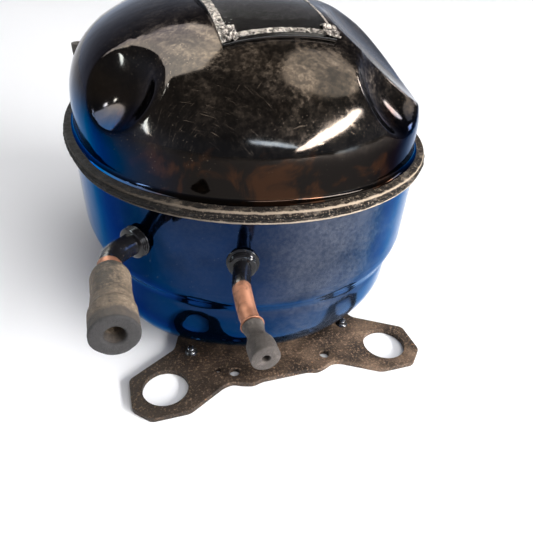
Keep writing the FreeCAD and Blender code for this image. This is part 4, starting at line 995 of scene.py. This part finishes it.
# Base and dark colour, roughness, grain, share of metal, stretch of the grain and bump.
METALS = {
    "stud_steel": ((0.16, 0.16, 0.165), (0.03, 0.03, 0.03), 0.16, 320.0, 0.9),
    "zinc_steel": ((0.55, 0.55, 0.53), (0.33, 0.32, 0.30), 0.28, 420.0),
    "spring_steel": ((0.30, 0.30, 0.31), (0.12, 0.11, 0.10), 0.26, 500.0, 1.0, (1, 1, 5)),
    "pressed_steel": ((0.42, 0.41, 0.40), (0.24, 0.23, 0.22), 0.34, 380.0, 1.0, (1, 1, 4)),
    "cast_aluminium": ((0.60, 0.60, 0.61), (0.42, 0.42, 0.43), 0.45, 700.0, 1.0, (1, 1, 1),
                       0.0003),
    "cast_iron": ((0.17, 0.165, 0.16), (0.08, 0.078, 0.075), 0.55, 620.0, 0.85, (1, 1, 1),
                  0.0004),
    "ground_steel": ((0.58, 0.58, 0.59), (0.42, 0.42, 0.42), 0.20, 600.0, 1.0, (1, 1, 9)),
    "line_copper": ((0.62, 0.29, 0.15), (0.30, 0.13, 0.07), 0.30, 260.0),
}
# Base colour and roughness.
MOULDED = {
    "gasket_sheet": ((0.055, 0.065, 0.055), 0.75),
    "muffler_plastic": ((0.50, 0.48, 0.42), 0.45),
    "plug_plastic": ((0.46, 0.43, 0.36), 0.5),
    "lead_cover": ((0.22, 0.025, 0.02), 0.4),
}


def make_finishes(colours, shell, tubes):
    """All node materials, each under its own name."""
    cap_face = tubes.suction_end - tubes.cap_length + tubes.cap_grip + 0.0004
    cover_enamel(colours, shell)
    shell_enamel(colours, shell)
    burnt_rim(colours, shell)
    foot_wash(colours)
    painted_copper("suction_copper", colours, "Y", tubes.suction_bare, 0.0006)
    painted_copper("discharge_copper", colours, "Y", tubes.discharge_bare, 0.0008)
    painted_copper("process_copper", colours, "Z", tubes.process_bare, -0.0008)
    dusty_rubber("cap_rubber", colours.cap, colours.cap_dirt, cap_face)
    dusty_rubber("plug_rubber", colours.plug, scaled(colours.plug, 0.45))
    tube_enamel(colours)
    for make_finish in (label_sheet, label_film, torn_film, glass_bead, lamination, winding):
        make_finish()
    for name, looks in METALS.items():
        metal(name, *looks)
    for name, looks in MOULDED.items():
        moulded(name, *looks)


# ---------------------------------------------------------------- shell operators

class FinishesOperator(bpy.types.Operator):
    """Make the node materials"""
    bl_idname = "compressor.finishes"
    bl_label = "Finishes"

    def execute(self, context):
        scene = context.scene
        make_finishes(scene.compressor_colours, scene.compressor_shell, scene.compressor_tubes)
        return {"FINISHED"}


def straight(inset, start, end):
    """Three points that part a straight run of wall into four."""
    return [(inset, start + (end - start) * i / 4) for i in (1, 2, 3)]


def cover_outline(sizes):
    """The cover's whole section: the outer face down to the rim, then the inner face up."""
    top = sizes.parting + sizes.flange
    wall, fillet = sizes.cover_inset, sizes.cover_fillet
    outside = cover_section(sizes, 0.0)
    foot = arc((wall - fillet, top + fillet), fillet, -math.pi / 2, 0, 5)
    steps = straight(wall, top + fillet, outside[0][1])
    rim = flange_section(sizes, wall, top, foot[0])
    return (rim + foot + steps + outside)[::-1] + cover_section(sizes, sizes.sheet)


def bowl_outline(sizes):
    """The bowl's whole section: the inner face up to the rim, then the outer face down."""
    low = sizes.parting - sizes.flange
    wall, fillet = sizes.bowl_inset - sizes.belly, sizes.bowl_fillet
    tier, lower = bowl_section(sizes, 0.0)
    tier_in, lower_in = bowl_section(sizes, sizes.sheet)
    under = arc((wall - fillet, low - fillet), fillet, math.pi / 2, 0, 4)
    falls = straight(lower[0][0], tier[-1][1], lower[0][1])
    falls_in = [(lower_in[0][0], level) for _, level in falls]
    rim = flange_section(sizes, wall, low, under[0])
    return (tier_in + falls_in + lower_in)[::-1] + rim + under + tier + falls + lower


def rim_from_faces(piece, sizes):
    """Give the flange's own faces the burnt finish."""
    piece.data.materials.append(finish_named("burnt_rim"))
    for face in piece.data.polygons:
        if abs(face.center.z - sizes.parting) < sizes.flange + 0.0001:
            face.material_index = 1


class CoverOperator(bpy.types.Operator):
    """Spin the cover's section round the oval and press in its scallops"""
    bl_idname = "compressor.cover"
    bl_label = "Cover"

    def execute(self, context):
        sizes = context.scene.compressor_shell
        scallop = context.scene.compressor_scallops
        piece = spin_round("cover", sizes, cover_outline(sizes), 0.0013)
        close_ends()
        press(piece, Vector((0, 0, sizes.parting)), scallop.deepest, scallop_rule(sizes, scallop))
        soften(piece, 50)
        finish_piece(piece, "shell", "cover_enamel", "cover_enamel", "upper_cover")
        rim_from_faces(piece, sizes)
        return {"FINISHED"}


class LowerShellOperator(bpy.types.Operator):
    """Spin the bowl's section round the oval and open the holes of the terminal and tubes"""
    bl_idname = "compressor.lower_shell"
    bl_label = "Lower shell"

    def execute(self, context):
        sizes = context.scene.compressor_shell
        tubes = context.scene.compressor_tubes
        terminal = context.scene.compressor_terminal
        piece = spin_round("bowl", sizes, bowl_outline(sizes), 0.0024)
        close_ends()
        lean_front(piece, sizes)
        rear = Vector((0, sizes.rim_half_length, terminal.level))
        drill(piece, rear, FRONT, terminal.disc, 0.05, 64)
        for turn, end, radius in ((tubes.suction_turn, -1, tubes.suction),
                                  (tubes.discharge_turn, -1, tubes.discharge),
                                  (tubes.process_turn, 1, tubes.discharge)):
            point, out = shell_point(sizes, turn, end, tubes.level)
            drill(piece, point, out, radius + tubes.hole, 0.02, 48)
        soften(piece, 40)
        finish_piece(piece, "shell", "shell_enamel", "shell_enamel", "lower_shell")
        rim_from_faces(piece, sizes)
        return {"FINISHED"}


class WeldOperator(bpy.types.Operator):
    """Spin the weld bead round the rim and ripple it"""
    bl_idname = "compressor.weld"
    bl_label = "Weld bead"

    def execute(self, context):
        sizes = context.scene.compressor_shell
        half, root = sizes.weld, 0.0009
        outline = arc((0.0003, sizes.parting), half, math.pi / 2, 1.5 * math.pi, 8)
        outline = [(root, sizes.parting + half)] + outline + [(root, sizes.parting - half)]
        piece = spin_round("weld", sizes, outline + [outline[0]], 0.0008)
        close_up()
        uneven(piece, 0.0032, 0.0007)
        soften(piece, 60)
        finish_piece(piece, "shell", "rim_steel", "burnt_rim", "rim_weld_bead")
        return {"FINISHED"}


# ---------------------------------------------------------------- label

def lay(piece, target, lift):
    """Drop a flat sheet straight down on a target."""
    modify(piece, "SHRINKWRAP", target=target, wrap_method="PROJECT", use_project_z=True,
           use_negative_direction=True, use_positive_direction=False, offset=lift)


def laid_sheet(name, sizes, cover, grow, lift, thickness, cuts):
    """A sheet of the label's size, grown on every side and laid on the cover."""
    deselect_everything()
    bpy.ops.mesh.primitive_plane_add(size=1.0, location=(0, 0, ABOVE))
    piece = named(name)
    open_mesh(piece)
    bpy.ops.mesh.subdivide(number_cuts=cuts)
    bpy.ops.transform.resize(value=(sizes.width + 2 * grow, sizes.run + 2 * grow, 1))
    bpy.ops.transform.translate(value=(sizes.middle, sizes.front + sizes.run / 2, 0))
    close_mesh()
    lay(piece, cover, lift)
    thicken(piece, thickness, 1.0)
    return piece


def torn_scrap(cover, under, name, middle, size, cuts, lift, ripple, grain):
    """A rippled strip of torn film laid on the cover."""
    deselect_everything()
    bpy.ops.mesh.primitive_grid_add(x_subdivisions=cuts[0], y_subdivisions=cuts[1], size=1.0,
                                    location=(*middle, ABOVE))
    scrap = named(name)
    open_mesh(scrap)
    bpy.ops.transform.resize(value=(*size, 1), center_override=(*middle, ABOVE))
    close_mesh()
    lay(scrap, cover, under + lift)
    uneven(scrap, grain, ripple)
    uneven(scrap, grain * 0.35, ripple * 0.4)
    thicken(scrap, 0.00012)
    soften(scrap, 30)
    scrap.data.materials.append(finish_named("torn_film"))
    return scrap


class LabelOperator(bpy.types.Operator):
    """Lay the label's sheet on the crown under a clear film with torn edges"""
    bl_idname = "compressor.label"
    bl_label = "Label"

    def execute(self, context):
        sizes = context.scene.compressor_label
        cover = bpy.data.objects["cover"]
        front, left = sizes.front, sizes.middle - sizes.width / 2
        right = sizes.middle + sizes.width / 2
        sheet = laid_sheet("label", sizes, cover, 0.0, CLEARANCE, sizes.sheet, 50)
        bevel(sheet, 0.0003)
        soften(sheet)
        finish_piece(sheet, "shell", "label_sheet", "label_sheet", "label_plate")
        film = laid_sheet("film", sizes, cover, 0.0002, sizes.sheet + 2 * CLEARANCE, 0.00025, 60)
        soften(film)
        torn = [torn_scrap(cover, sizes.sheet, *scrap) for scrap in (
            ("front_fringe", (sizes.middle, front + 0.0021), (sizes.width - 0.003, 0.0024),
             (150, 10), 0.0003, 0.0006, 0.0009),
            ("left_fringe", (left + 0.0012, front + 0.024), (0.0028, 0.048),
             (12, 160), 0.0005, 0.0012, 0.0034),
            ("right_fringe", (right - 0.0004, front + 0.020), (0.0008, 0.040),
             (5, 110), 0.0004, 0.0005, 0.0030),
            ("left_corner", (left + 0.0026, front + 0.0030), (0.0046, 0.0064),
             (36, 48), 0.0008, 0.0030, 0.0018),
            ("right_corner", (right - 0.0012, front + 0.0030), (0.0052, 0.0064),
             (36, 44), 0.0008, 0.0030, 0.0017))]
        finish_piece(film, "shell", "label_film", "label_film", "label_film")
        joined([film] + torn)
        return {"FINISHED"}


# ---------------------------------------------------------------- feet

class FootPlateOperator(bpy.types.Operator):
    """Draw, pierce and soften the front foot plate, and copy it to the rear"""
    bl_idname = "compressor.foot_plates"
    bl_label = "Foot plates"

    def execute(self, context):
        sizes = context.scene.compressor_feet
        right = [
            (0.0108, -0.0060), (0.0143, -0.0073), (0.0180, -0.0064), (0.0230, -0.0042),
            (0.0270, -0.0050), (0.0428, -0.0143), (0.0583, -0.0143), (0.0650, -0.0075),
            (0.0650, 0.0080), (0.0440, 0.0210), (0.0380, 0.0380)]
        outline = right + [(-x, y) for x, y in reversed(right)]
        points = [(x, y - sizes.hole_y, 0.0) for x, y in outline]
        piece = draw_line("front_foot", points, closed=True)
        bpy.ops.mesh.bevel(offset=0.0016, segments=4, affect="VERTICES")
        bpy.ops.mesh.select_all(action="SELECT")
        bpy.ops.mesh.edge_face_add()
        extrude((0, 0, sizes.plate))
        close_up()
        for x, y, radius in ((-sizes.hole_x, 0.0, sizes.hole), (sizes.hole_x, 0.0, sizes.hole),
                             (-0.021, 0.0009, sizes.small_hole), (0.021, 0.0009, sizes.small_hole),
                             (-0.0276, 0.0038, sizes.pilot_hole)):
            drill(piece, Vector((x, y - sizes.hole_y, 0.0)), UP, radius, 0.01, 72)
        bevel(piece, 0.00035, 3, 40)
        soften(piece, 30)
        pick(piece)
        bpy.ops.object.duplicate()
        rear = bpy.context.object
        rear.rotation_euler.z = math.pi
        named("rear_foot")
        finish_piece(piece, "shell", "foot_steel", "foot_wash", "front_foot_plate")
        finish_piece(rear, "shell", "foot_steel", "foot_wash", "rear_foot_plate")
        return {"FINISHED"}


class StudOperator(bpy.types.Operator):
    """Turn the four weld studs at the corners of the bowl"""
    bl_idname = "compressor.studs"
    bl_label = "Weld studs"

    def execute(self, context):
        radius = context.scene.compressor_feet.stud
        low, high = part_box("foot_studs")
        rise = high.z - low.z
        outline = [(0.0, -0.0002), (radius * 1.7, -0.0002), (radius * 1.35, 0.0003),
                   (radius * 1.02, 0.0009), (radius, rise * 0.6), (radius * 0.86, rise * 0.86),
                   (radius * 0.5, rise * 0.98), (0.0, rise)]
        piece = joined([turned("stud", Vector((x, y, low.z)), UP, outline, 24)
                        for x in (low.x + radius, high.x - radius)
                        for y in (low.y + radius, high.y - radius)])
        piece.name = piece.data.name = "studs"
        finish_piece(piece, "shell", "stud_steel", "stud_steel", "foot_studs")
        return {"FINISHED"}


# ---------------------------------------------------------------- tubes

def bent_tube(name, route, radius, wall, bend):
    """A hollow tube: a circle extruded along each run and spun round each bend."""
    place, out = route[0], (route[1] - route[0]).normalized()
    deselect_everything()
    bpy.ops.mesh.primitive_circle_add(vertices=48, radius=radius)
    aim(bpy.context.object, place, out)
    piece = named(name)
    open_mesh(piece)
    for corner, after in zip(route[1:], route[2:]):
        onward = (after - corner).normalized()
        turn = out.angle(onward)
        reach = bend * math.tan(turn / 2)
        first = corner - out * reach
        extrude(first - place)
        axis = out.cross(onward).normalized()
        centre = first + axis.cross(out).normalized() * bend
        bpy.ops.mesh.spin(steps=14, angle=-turn, center=centre, axis=axis)
        place = corner + onward * reach
        out = onward
    extrude(route[-1] - place)
    close_up(0.000005)
    thicken(piece, wall)
    soften(piece, 50)
    return piece


def front_route(shell, tubes, turn, run_x, end_y, sag):
    """A front tube's corners: out of the bowl and ahead, and down by its sag if it has one."""
    point, out = shell_point(shell, turn, -1, tubes.level)
    corner = point + out * ((run_x - point.x) / out.x)
    end = Vector((corner.x, end_y, corner.z - sag))
    route = [point - out * tubes.root, corner, end]
    if sag:
        route.insert(2, end - FRONT * tubes.discharge_level)
    return route


def process_route(shell, tubes):
    """The process tube's corners: out of the shell's rear left and up."""
    point, out = shell_point(shell, tubes.process_turn, 1, tubes.level)
    corner = point + out * tubes.process_out
    return [point - out * tubes.root, corner, corner + UP * tubes.process_rise]


def rolled_lip(end, radius):
    """The rolled mouth at the discharge tube's end."""
    bore = radius - 0.0004
    outline = [(bore, -0.0012), (radius + 0.0001, -0.0012), (radius + 0.0007, -0.0003),
               (radius + 0.0007, 0.0), (bore, 0.0), (bore, -0.0012)]
    return turned("pipe_lip", end, FRONT, rounded(outline, 0.0002), 48)


def ringed_collar(name, sizes, route, radius, foot, rings):
    """The swaged collar: a flat foot on the shell and thin ridges."""
    out = (route[1] - route[0]).normalized()
    reach = radius + sizes.collar
    hole = radius + CLEARANCE
    base = sizes.collar_base
    outline = [(hole, base + sizes.collar_length + 0.0002), (hole, -sizes.root),
               (reach, -sizes.root), (reach, base - 0.0010), (reach + foot, base - 0.0008),
               (reach + foot, base - 0.0003), (reach, base)]
    pitch = sizes.collar_length / rings
    for ring in range(rings):
        low = base + ring * pitch
        outline += [(reach + 0.0006, low + 0.3 * pitch), (reach + 0.0006, low + 0.6 * pitch),
                    (reach, low + 0.95 * pitch)]
    outline.append(outline[0])
    piece = turned(name, route[0] + out * sizes.root, out, rounded(outline, 0.0002, 2))
    soften(piece, 60)
    return piece


class TubeOperator(bpy.types.Operator):
    """Bend the three tubes and set each in its collar"""
    bl_idname = "compressor.tubes"
    bl_label = "Tubes"

    def execute(self, context):
        shell = context.scene.compressor_shell
        sizes = context.scene.compressor_tubes
        suction = front_route(shell, sizes, sizes.suction_turn, sizes.suction_x,
                              sizes.suction_end, 0.0)
        discharge = front_route(shell, sizes, sizes.discharge_turn, sizes.discharge_x,
                                sizes.discharge_end, sizes.discharge_sag)
        process = process_route(shell, sizes)
        for kind, route, radius, bend, foot, rings in (
                ("suction", suction, sizes.suction, sizes.bend, 0.0008, 3),
                ("discharge", discharge, sizes.discharge, sizes.small_bend, 0.0014, 2),
                ("process", process, sizes.discharge, sizes.small_bend, 0.0014, 2)):
            tube = bent_tube(f"{kind}_pipe", route, radius, sizes.wall, bend)
            if kind == "discharge":
                joined([tube, rolled_lip(route[-1], radius)])
            finish_piece(tube, "shell", "copper", f"{kind}_copper", f"{kind}_tube")
            collar = ringed_collar(f"{kind}_boss", sizes, route, radius, foot, rings)
            finish_piece(collar, "shell", "tube_paint", "tube_enamel", f"{kind}_collar")
        return {"FINISHED"}


class SuctionCapOperator(bpy.types.Operator):
    """Turn the soft cap that covers the suction tube"""
    bl_idname = "compressor.suction_cap"
    bl_label = "Suction cap"

    def execute(self, context):
        sizes = context.scene.compressor_tubes
        front = sizes.cap_length - sizes.cap_grip
        back = -sizes.cap_grip + sizes.cap_bare
        body, mouth, bore = sizes.cap, sizes.cap_mouth, sizes.suction + CLEARANCE
        outline = rounded([
            (bore, 0.0002), (bore, back), (body - 0.0012, back), (body - 0.0001, back + 0.0034),
            (body - 0.0004, 0.004), (body, front * 0.52), (mouth - 0.0001, front * 0.58),
            (mouth, front * 0.8), (mouth, front), (0.0036, front), (0.0030, front - 0.0006),
            (0.0030, 0.0002), (bore, 0.0002)], 0.0009, 4)
        start = Vector((sizes.suction_x, sizes.suction_end, sizes.level))
        piece = turned("cap", start, FRONT, outline, 96, UP)
        uneven(piece, 0.006, 0.0005)
        soften(piece, 50)
        finish_piece(piece, "shell", "cap_rubber", "cap_rubber", "suction_cap")
        return {"FINISHED"}


class PlugOperator(bpy.types.Operator):
    """Turn the plugs in the discharge and process tubes"""
    bl_idname = "compressor.plugs"
    bl_label = "Plugs"

    def execute(self, context):
        shell = context.scene.compressor_shell
        sizes = context.scene.compressor_tubes
        stem = sizes.discharge - sizes.wall - CLEARANCE
        hole = sizes.plug_hole
        outline = rounded([
            (hole, -0.007), (stem, -0.007), (stem, 0.0002), (0.0035, 0.0002), (0.0034, 0.0012),
            (0.0029, 0.0028), (0.0029, 0.0050), (0.0034, 0.0064), (0.0042, 0.0080),
            (sizes.plug, 0.0096), (sizes.plug, 0.0142), (0.0015, 0.0142), (hole, 0.0139),
            (hole, -0.007)], 0.0005, 3)
        front = Vector((sizes.discharge_x, sizes.discharge_end,
                        sizes.level - sizes.discharge_sag))
        for name, start, way, node in (
                ("front_plug", front, FRONT, "discharge_plug"),
                ("rear_plug", process_route(shell, sizes)[-1], UP, "process_plug")):
            piece = turned(name, start, way, outline, 64)
            soften(piece, 50)
            finish_piece(piece, "shell", "plug_rubber", "plug_rubber", node)
        return {"FINISHED"}


# ---------------------------------------------------------------- terminal

def bowl_core(shell):
    """A solid of the bowl's outside, which trims what meets its wall."""
    tier, lower = bowl_section(shell, 0.0)
    core = spin_round("bowl_core", shell, [(tier[0][0], shell.parting)] + tier + lower, 0.003)
    close_ends()
    return core


class FenceOperator(bpy.types.Operator):
    """Fold the terminal's fence from sheet and fit it to the bowl"""
    bl_idname = "compressor.fence"
    bl_label = "Terminal fence"

    def execute(self, context):
        sizes = context.scene.compressor_terminal
        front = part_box("terminal_fence")[0].y
        half = sizes.width / 2
        low, high = sizes.level - sizes.height / 2, sizes.level + sizes.height / 2
        piece = draw_line("fence", [(half, front, high), (-half, front, high),
                                    (-half, front, low), (half, front, low)], closed=True)
        bpy.ops.mesh.bevel(offset=sizes.fold, segments=6, affect="VERTICES")
        bpy.ops.mesh.select_all(action="SELECT")
        for _ in range(8):
            extrude((0, (sizes.rear - front) / 8, 0))
        close_up()
        thicken(piece, sizes.sheet)
        subtract(piece, bowl_core(context.scene.compressor_shell))
        bevel(piece, 0.0002, 2, 50)
        soften(piece, 40)
        finish_piece(piece, "shell", "shell_enamel", "tube_enamel", "terminal_fence")
        return {"FINISHED"}


# ---------------------------------------------------------------- springs

class SpringsOperator(bpy.types.Operator):
    """Copy the four springs, merge their doubled points and give them the spring steel finish"""
    bl_idname = "compressor.springs"
    bl_label = "Suspension springs"

    def execute(self, context):
        for corner in ("front_left", "front_right", "rear_left", "rear_right"):
            node = f"spring_{corner}"
            piece = bpy.data.objects.new(f"coil_{corner}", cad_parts[node].data.copy())
            context.scene.collection.objects.link(piece)
            open_mesh(piece)
            close_up(0.000001)
            piece.data.materials.clear()
            piece.data.materials.append(finish_named("spring_steel"))
            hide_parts(node)
            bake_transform(piece)
        return {"FINISHED"}


# ---------------------------------------------------------------- carried-over pieces

CARRIED = {
    "terminal_body": "pressed_steel", "terminal_glass": "glass_bead",
    "terminal_pins": "ground_steel", "lead_plug": "plug_plastic", "earth_screw": "zinc_steel",
    "spring_seats": "pressed_steel", "spring_caps": "plug_plastic", "stator_core": "lamination",
    "stator_windings": "winding", "rotor_core": "lamination",
    "rotor_end_rings": "cast_aluminium", "crankshaft": "ground_steel",
    "counterweight": "pressed_steel", "oil_pickup": "plug_plastic",
    "stator_bolts": "zinc_steel", "crankcase_block": "cast_iron",
    "thrust_washer": "ground_steel", "piston": "ground_steel", "wrist_pin": "ground_steel",
    "connecting_rod": "cast_aluminium", "crankpin": "ground_steel",
    "suction_reed": "spring_steel", "valve_plate": "ground_steel",
    "head_gasket": "gasket_sheet", "cylinder_head": "cast_aluminium",
    "discharge_reed": "spring_steel", "head_bolts": "zinc_steel",
    "suction_muffler": "muffler_plastic", "discharge_muffler": "pressed_steel",
    "head_pipe": "ground_steel", "discharge_line": "line_copper", "motor_leads": "lead_cover",
}


class CarriedOperator(bpy.types.Operator):
    """Give the pieces inside the shell and the terminal their finishes"""
    bl_idname = "compressor.carried"
    bl_label = "Motor and pump finishes"

    def execute(self, context):
        for node, material in CARRIED.items():
            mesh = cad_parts[node].data
            mesh.materials.clear()
            mesh.materials.append(finish_named(material))
        return {"FINISHED"}


# ---------------------------------------------------------------- stage

# How far the lamps stand from the shell's middle.
LAMPS_AWAY = 2.0
# Each lamp's name, heading and height in degrees, size in metres, strength, roll, tint, and
# whether it lights the object or only shows in its gloss.
STUDIO = [
    ("ceiling_left", -32, 46, (1.7, 1.5), 5.6, 0, (1.0, 0.98, 0.90), False),
    ("ceiling_right", 85, 58, (1.6, 1.3), 2.1, 0, (1.0, 0.97, 0.90), False),
    ("front_window", 143, 20, (2.1, 0.30), 44.0, 26, (1.0, 0.98, 0.96), True),
    ("front_tube", 181, 15, (1.10, 0.14), 18.0, -17, (0.62, 0.80, 1.0), False),
    ("right_window", 78, 28, (0.22, 0.5), 26.0, 0, (0.95, 0.97, 1.0), False),
    ("left_spot", -69, 46, (0.09, 0.09), 34.0, 0, (0.95, 1.0, 1.0), False),
    ("left_spot_low", -66, 38, (0.08, 0.08), 30.0, 0, (0.90, 1.0, 1.0), False),
    ("left_tube", -94, 15, (0.16, 0.70), 24.0, 35, (0.82, 0.96, 1.0), False),
    ("low_tube", 136, -2, (0.62, 0.07), 16.0, 5, (0.60, 0.80, 1.0), False)]


def soft_lamp(name, heading, height, size, strength, tint):
    """An elliptical area lamp facing the shell, placed by its heading and height in degrees."""
    heading, height = math.radians(heading), math.radians(height)
    way = Vector((math.sin(heading) * math.cos(height), math.cos(heading) * math.cos(height),
                  math.sin(height)))
    deselect_everything()
    bpy.ops.object.light_add(type="AREA", location=way * LAMPS_AWAY + UP * 0.08)
    lamp = bpy.context.object
    lamp.name = name
    lamp.data.shape = "ELLIPSE"
    lamp.data.size, lamp.data.size_y = size
    lamp.data.energy = strength * size[0] * size[1] * math.pi
    lamp.data.color = tint
    lamp.rotation_euler = (-way).to_track_quat("-Z", "Y").to_euler()
    return lamp


def overhead_light(strength):
    """A wide, even light from above that shows in no gloss."""
    deselect_everything()
    bpy.ops.object.light_add(type="SUN", location=(0.6, -0.9, 2.0))
    sun = bpy.context.object
    sun.name = "overhead"
    sun.data.energy = strength
    sun.data.angle = math.radians(50)
    sun.visible_glossy = False
    sun.rotation_euler = Vector((-0.30, 0.35, -1.0)).to_track_quat("-Z", "Y").to_euler()


def lay_floor(width):
    """A pale, matt floor under the feet."""
    deselect_everything()
    bpy.ops.mesh.primitive_plane_add(size=1.0, location=(0, 0, -0.0002))
    floor = named("floor")
    open_mesh(floor)
    bpy.ops.transform.resize(value=(width, width, 1))
    bpy.ops.mesh.subdivide(number_cuts=3)
    close_mesh()
    paint = bpy.data.materials.new("floor_paint")
    paint.use_nodes = True
    shader = paint.node_tree.nodes["Principled BSDF"]
    shader.inputs["Base Color"].default_value = (0.93, 0.945, 0.97, 1)
    shader.inputs["Roughness"].default_value = 0.95
    shader.inputs["Specular IOR Level"].default_value = 0.0
    floor.data.materials.append(paint)


def even_sky(scene, strength):
    """Even light that is bluish near the horizon and dim overhead."""
    world = bpy.data.worlds.new("studio")
    world.use_nodes = True
    scene.world = world
    nodes, links = world.node_tree.nodes, world.node_tree.links
    place = nodes.new("ShaderNodeTexCoord")
    parts = nodes.new("ShaderNodeSeparateXYZ")
    links.new(place.outputs["Generated"], parts.inputs["Vector"])
    tones = nodes.new("ShaderNodeValToRGB")
    horizon, middle = tones.color_ramp.elements
    horizon.position = 0.0
    horizon.color = (0.62, 0.70, 0.86, 1)
    middle.position = 0.34
    middle.color = (0.24, 0.24, 0.26, 1)
    tones.color_ramp.elements.new(0.85).color = (0.20, 0.18, 0.16, 1)
    links.new(parts.outputs["Z"], tones.inputs["Fac"])
    even = nodes["Background"]
    even.inputs["Strength"].default_value = strength
    links.new(tones.outputs["Color"], even.inputs["Color"])


def set_camera(scene, settings):
    """The camera, placed by its heading, tilt and roll."""
    eye = Vector(settings.eye)
    across = Vector((math.cos(settings.heading), math.sin(settings.heading), 0))
    look = UP.cross(across) * math.cos(settings.tilt) - UP * math.sin(settings.tilt)
    top = across.cross(look)
    right = across * math.cos(settings.roll) + top * math.sin(settings.roll)
    up = -across * math.sin(settings.roll) + top * math.cos(settings.roll)
    data = bpy.data.cameras.new("camera")
    camera = bpy.data.objects.new("camera", data)
    scene.collection.objects.link(camera)
    camera.matrix_world = Matrix((
        (right.x, up.x, -look.x, eye.x), (right.y, up.y, -look.y, eye.y),
        (right.z, up.z, -look.z, eye.z), (0, 0, 0, 1)))
    data.lens = settings.lens
    data.sensor_width = 36.0
    data.clip_start = 0.005
    scene.camera = camera


class StageOperator(bpy.types.Operator):
    """Set the floor, the lamps, the even light and the camera"""
    bl_idname = "compressor.stage"
    bl_label = "Stage"

    def execute(self, context):
        scene = context.scene
        settings = scene.compressor_stage
        lay_floor(settings.floor)
        even_sky(scene, settings.sky)
        overhead_light(settings.overhead)
        for name, heading, height, size, strength, tilt, tint, lights in STUDIO:
            box = soft_lamp(name, heading, height, size, strength * settings.lamp, tint)
            box.rotation_euler.rotate_axis("Z", math.radians(tilt))
            box.visible_diffuse = lights
        set_camera(scene, settings)
        scene.view_settings.view_transform = "Standard"
        return {"FINISHED"}


# ---------------------------------------------------------------- panel and registration

OPERATORS = (FinishesOperator, CoverOperator, LowerShellOperator, WeldOperator, LabelOperator,
             FootPlateOperator, StudOperator, TubeOperator, SuctionCapOperator, PlugOperator,
             FenceOperator, SpringsOperator, CarriedOperator, StageOperator)
GROUPS = {"compressor_shell": ShellSizes, "compressor_scallops": ScallopSizes,
          "compressor_feet": FootSizes, "compressor_tubes": TubeSizes,
          "compressor_label": LabelSizes, "compressor_terminal": TerminalSizes,
          "compressor_colours": FinishColours, "compressor_stage": StageSettings}


class CompressorPanel(bpy.types.Panel):
    """Lists the operators that build the compressor"""
    bl_idname = "VIEW3D_PT_compressor"
    bl_label = "Compressor"
    bl_space_type = "VIEW_3D"
    bl_region_type = "UI"
    bl_category = "Compressor"

    def draw(self, context):
        for operator in OPERATORS:
            self.layout.operator(operator.bl_idname)


def register():
    for group in GROUPS.values():
        bpy.utils.register_class(group)
    for name, group in GROUPS.items():
        setattr(bpy.types.Scene, name, PointerProperty(type=group))
    for operator in OPERATORS:
        bpy.utils.register_class(operator)
    bpy.utils.register_class(CompressorPanel)


def unregister():
    bpy.utils.unregister_class(CompressorPanel)
    for operator in reversed(OPERATORS):
        bpy.utils.unregister_class(operator)
    for name in GROUPS:
        delattr(bpy.types.Scene, name)
    for group in GROUPS.values():
        bpy.utils.unregister_class(group)


def main():
    register()
    for operator in OPERATORS:
        group, name = operator.bl_idname.split(".")
        getattr(getattr(bpy.ops, group), name)()
    deselect_everything()


if __name__ == "__main__":
    main()
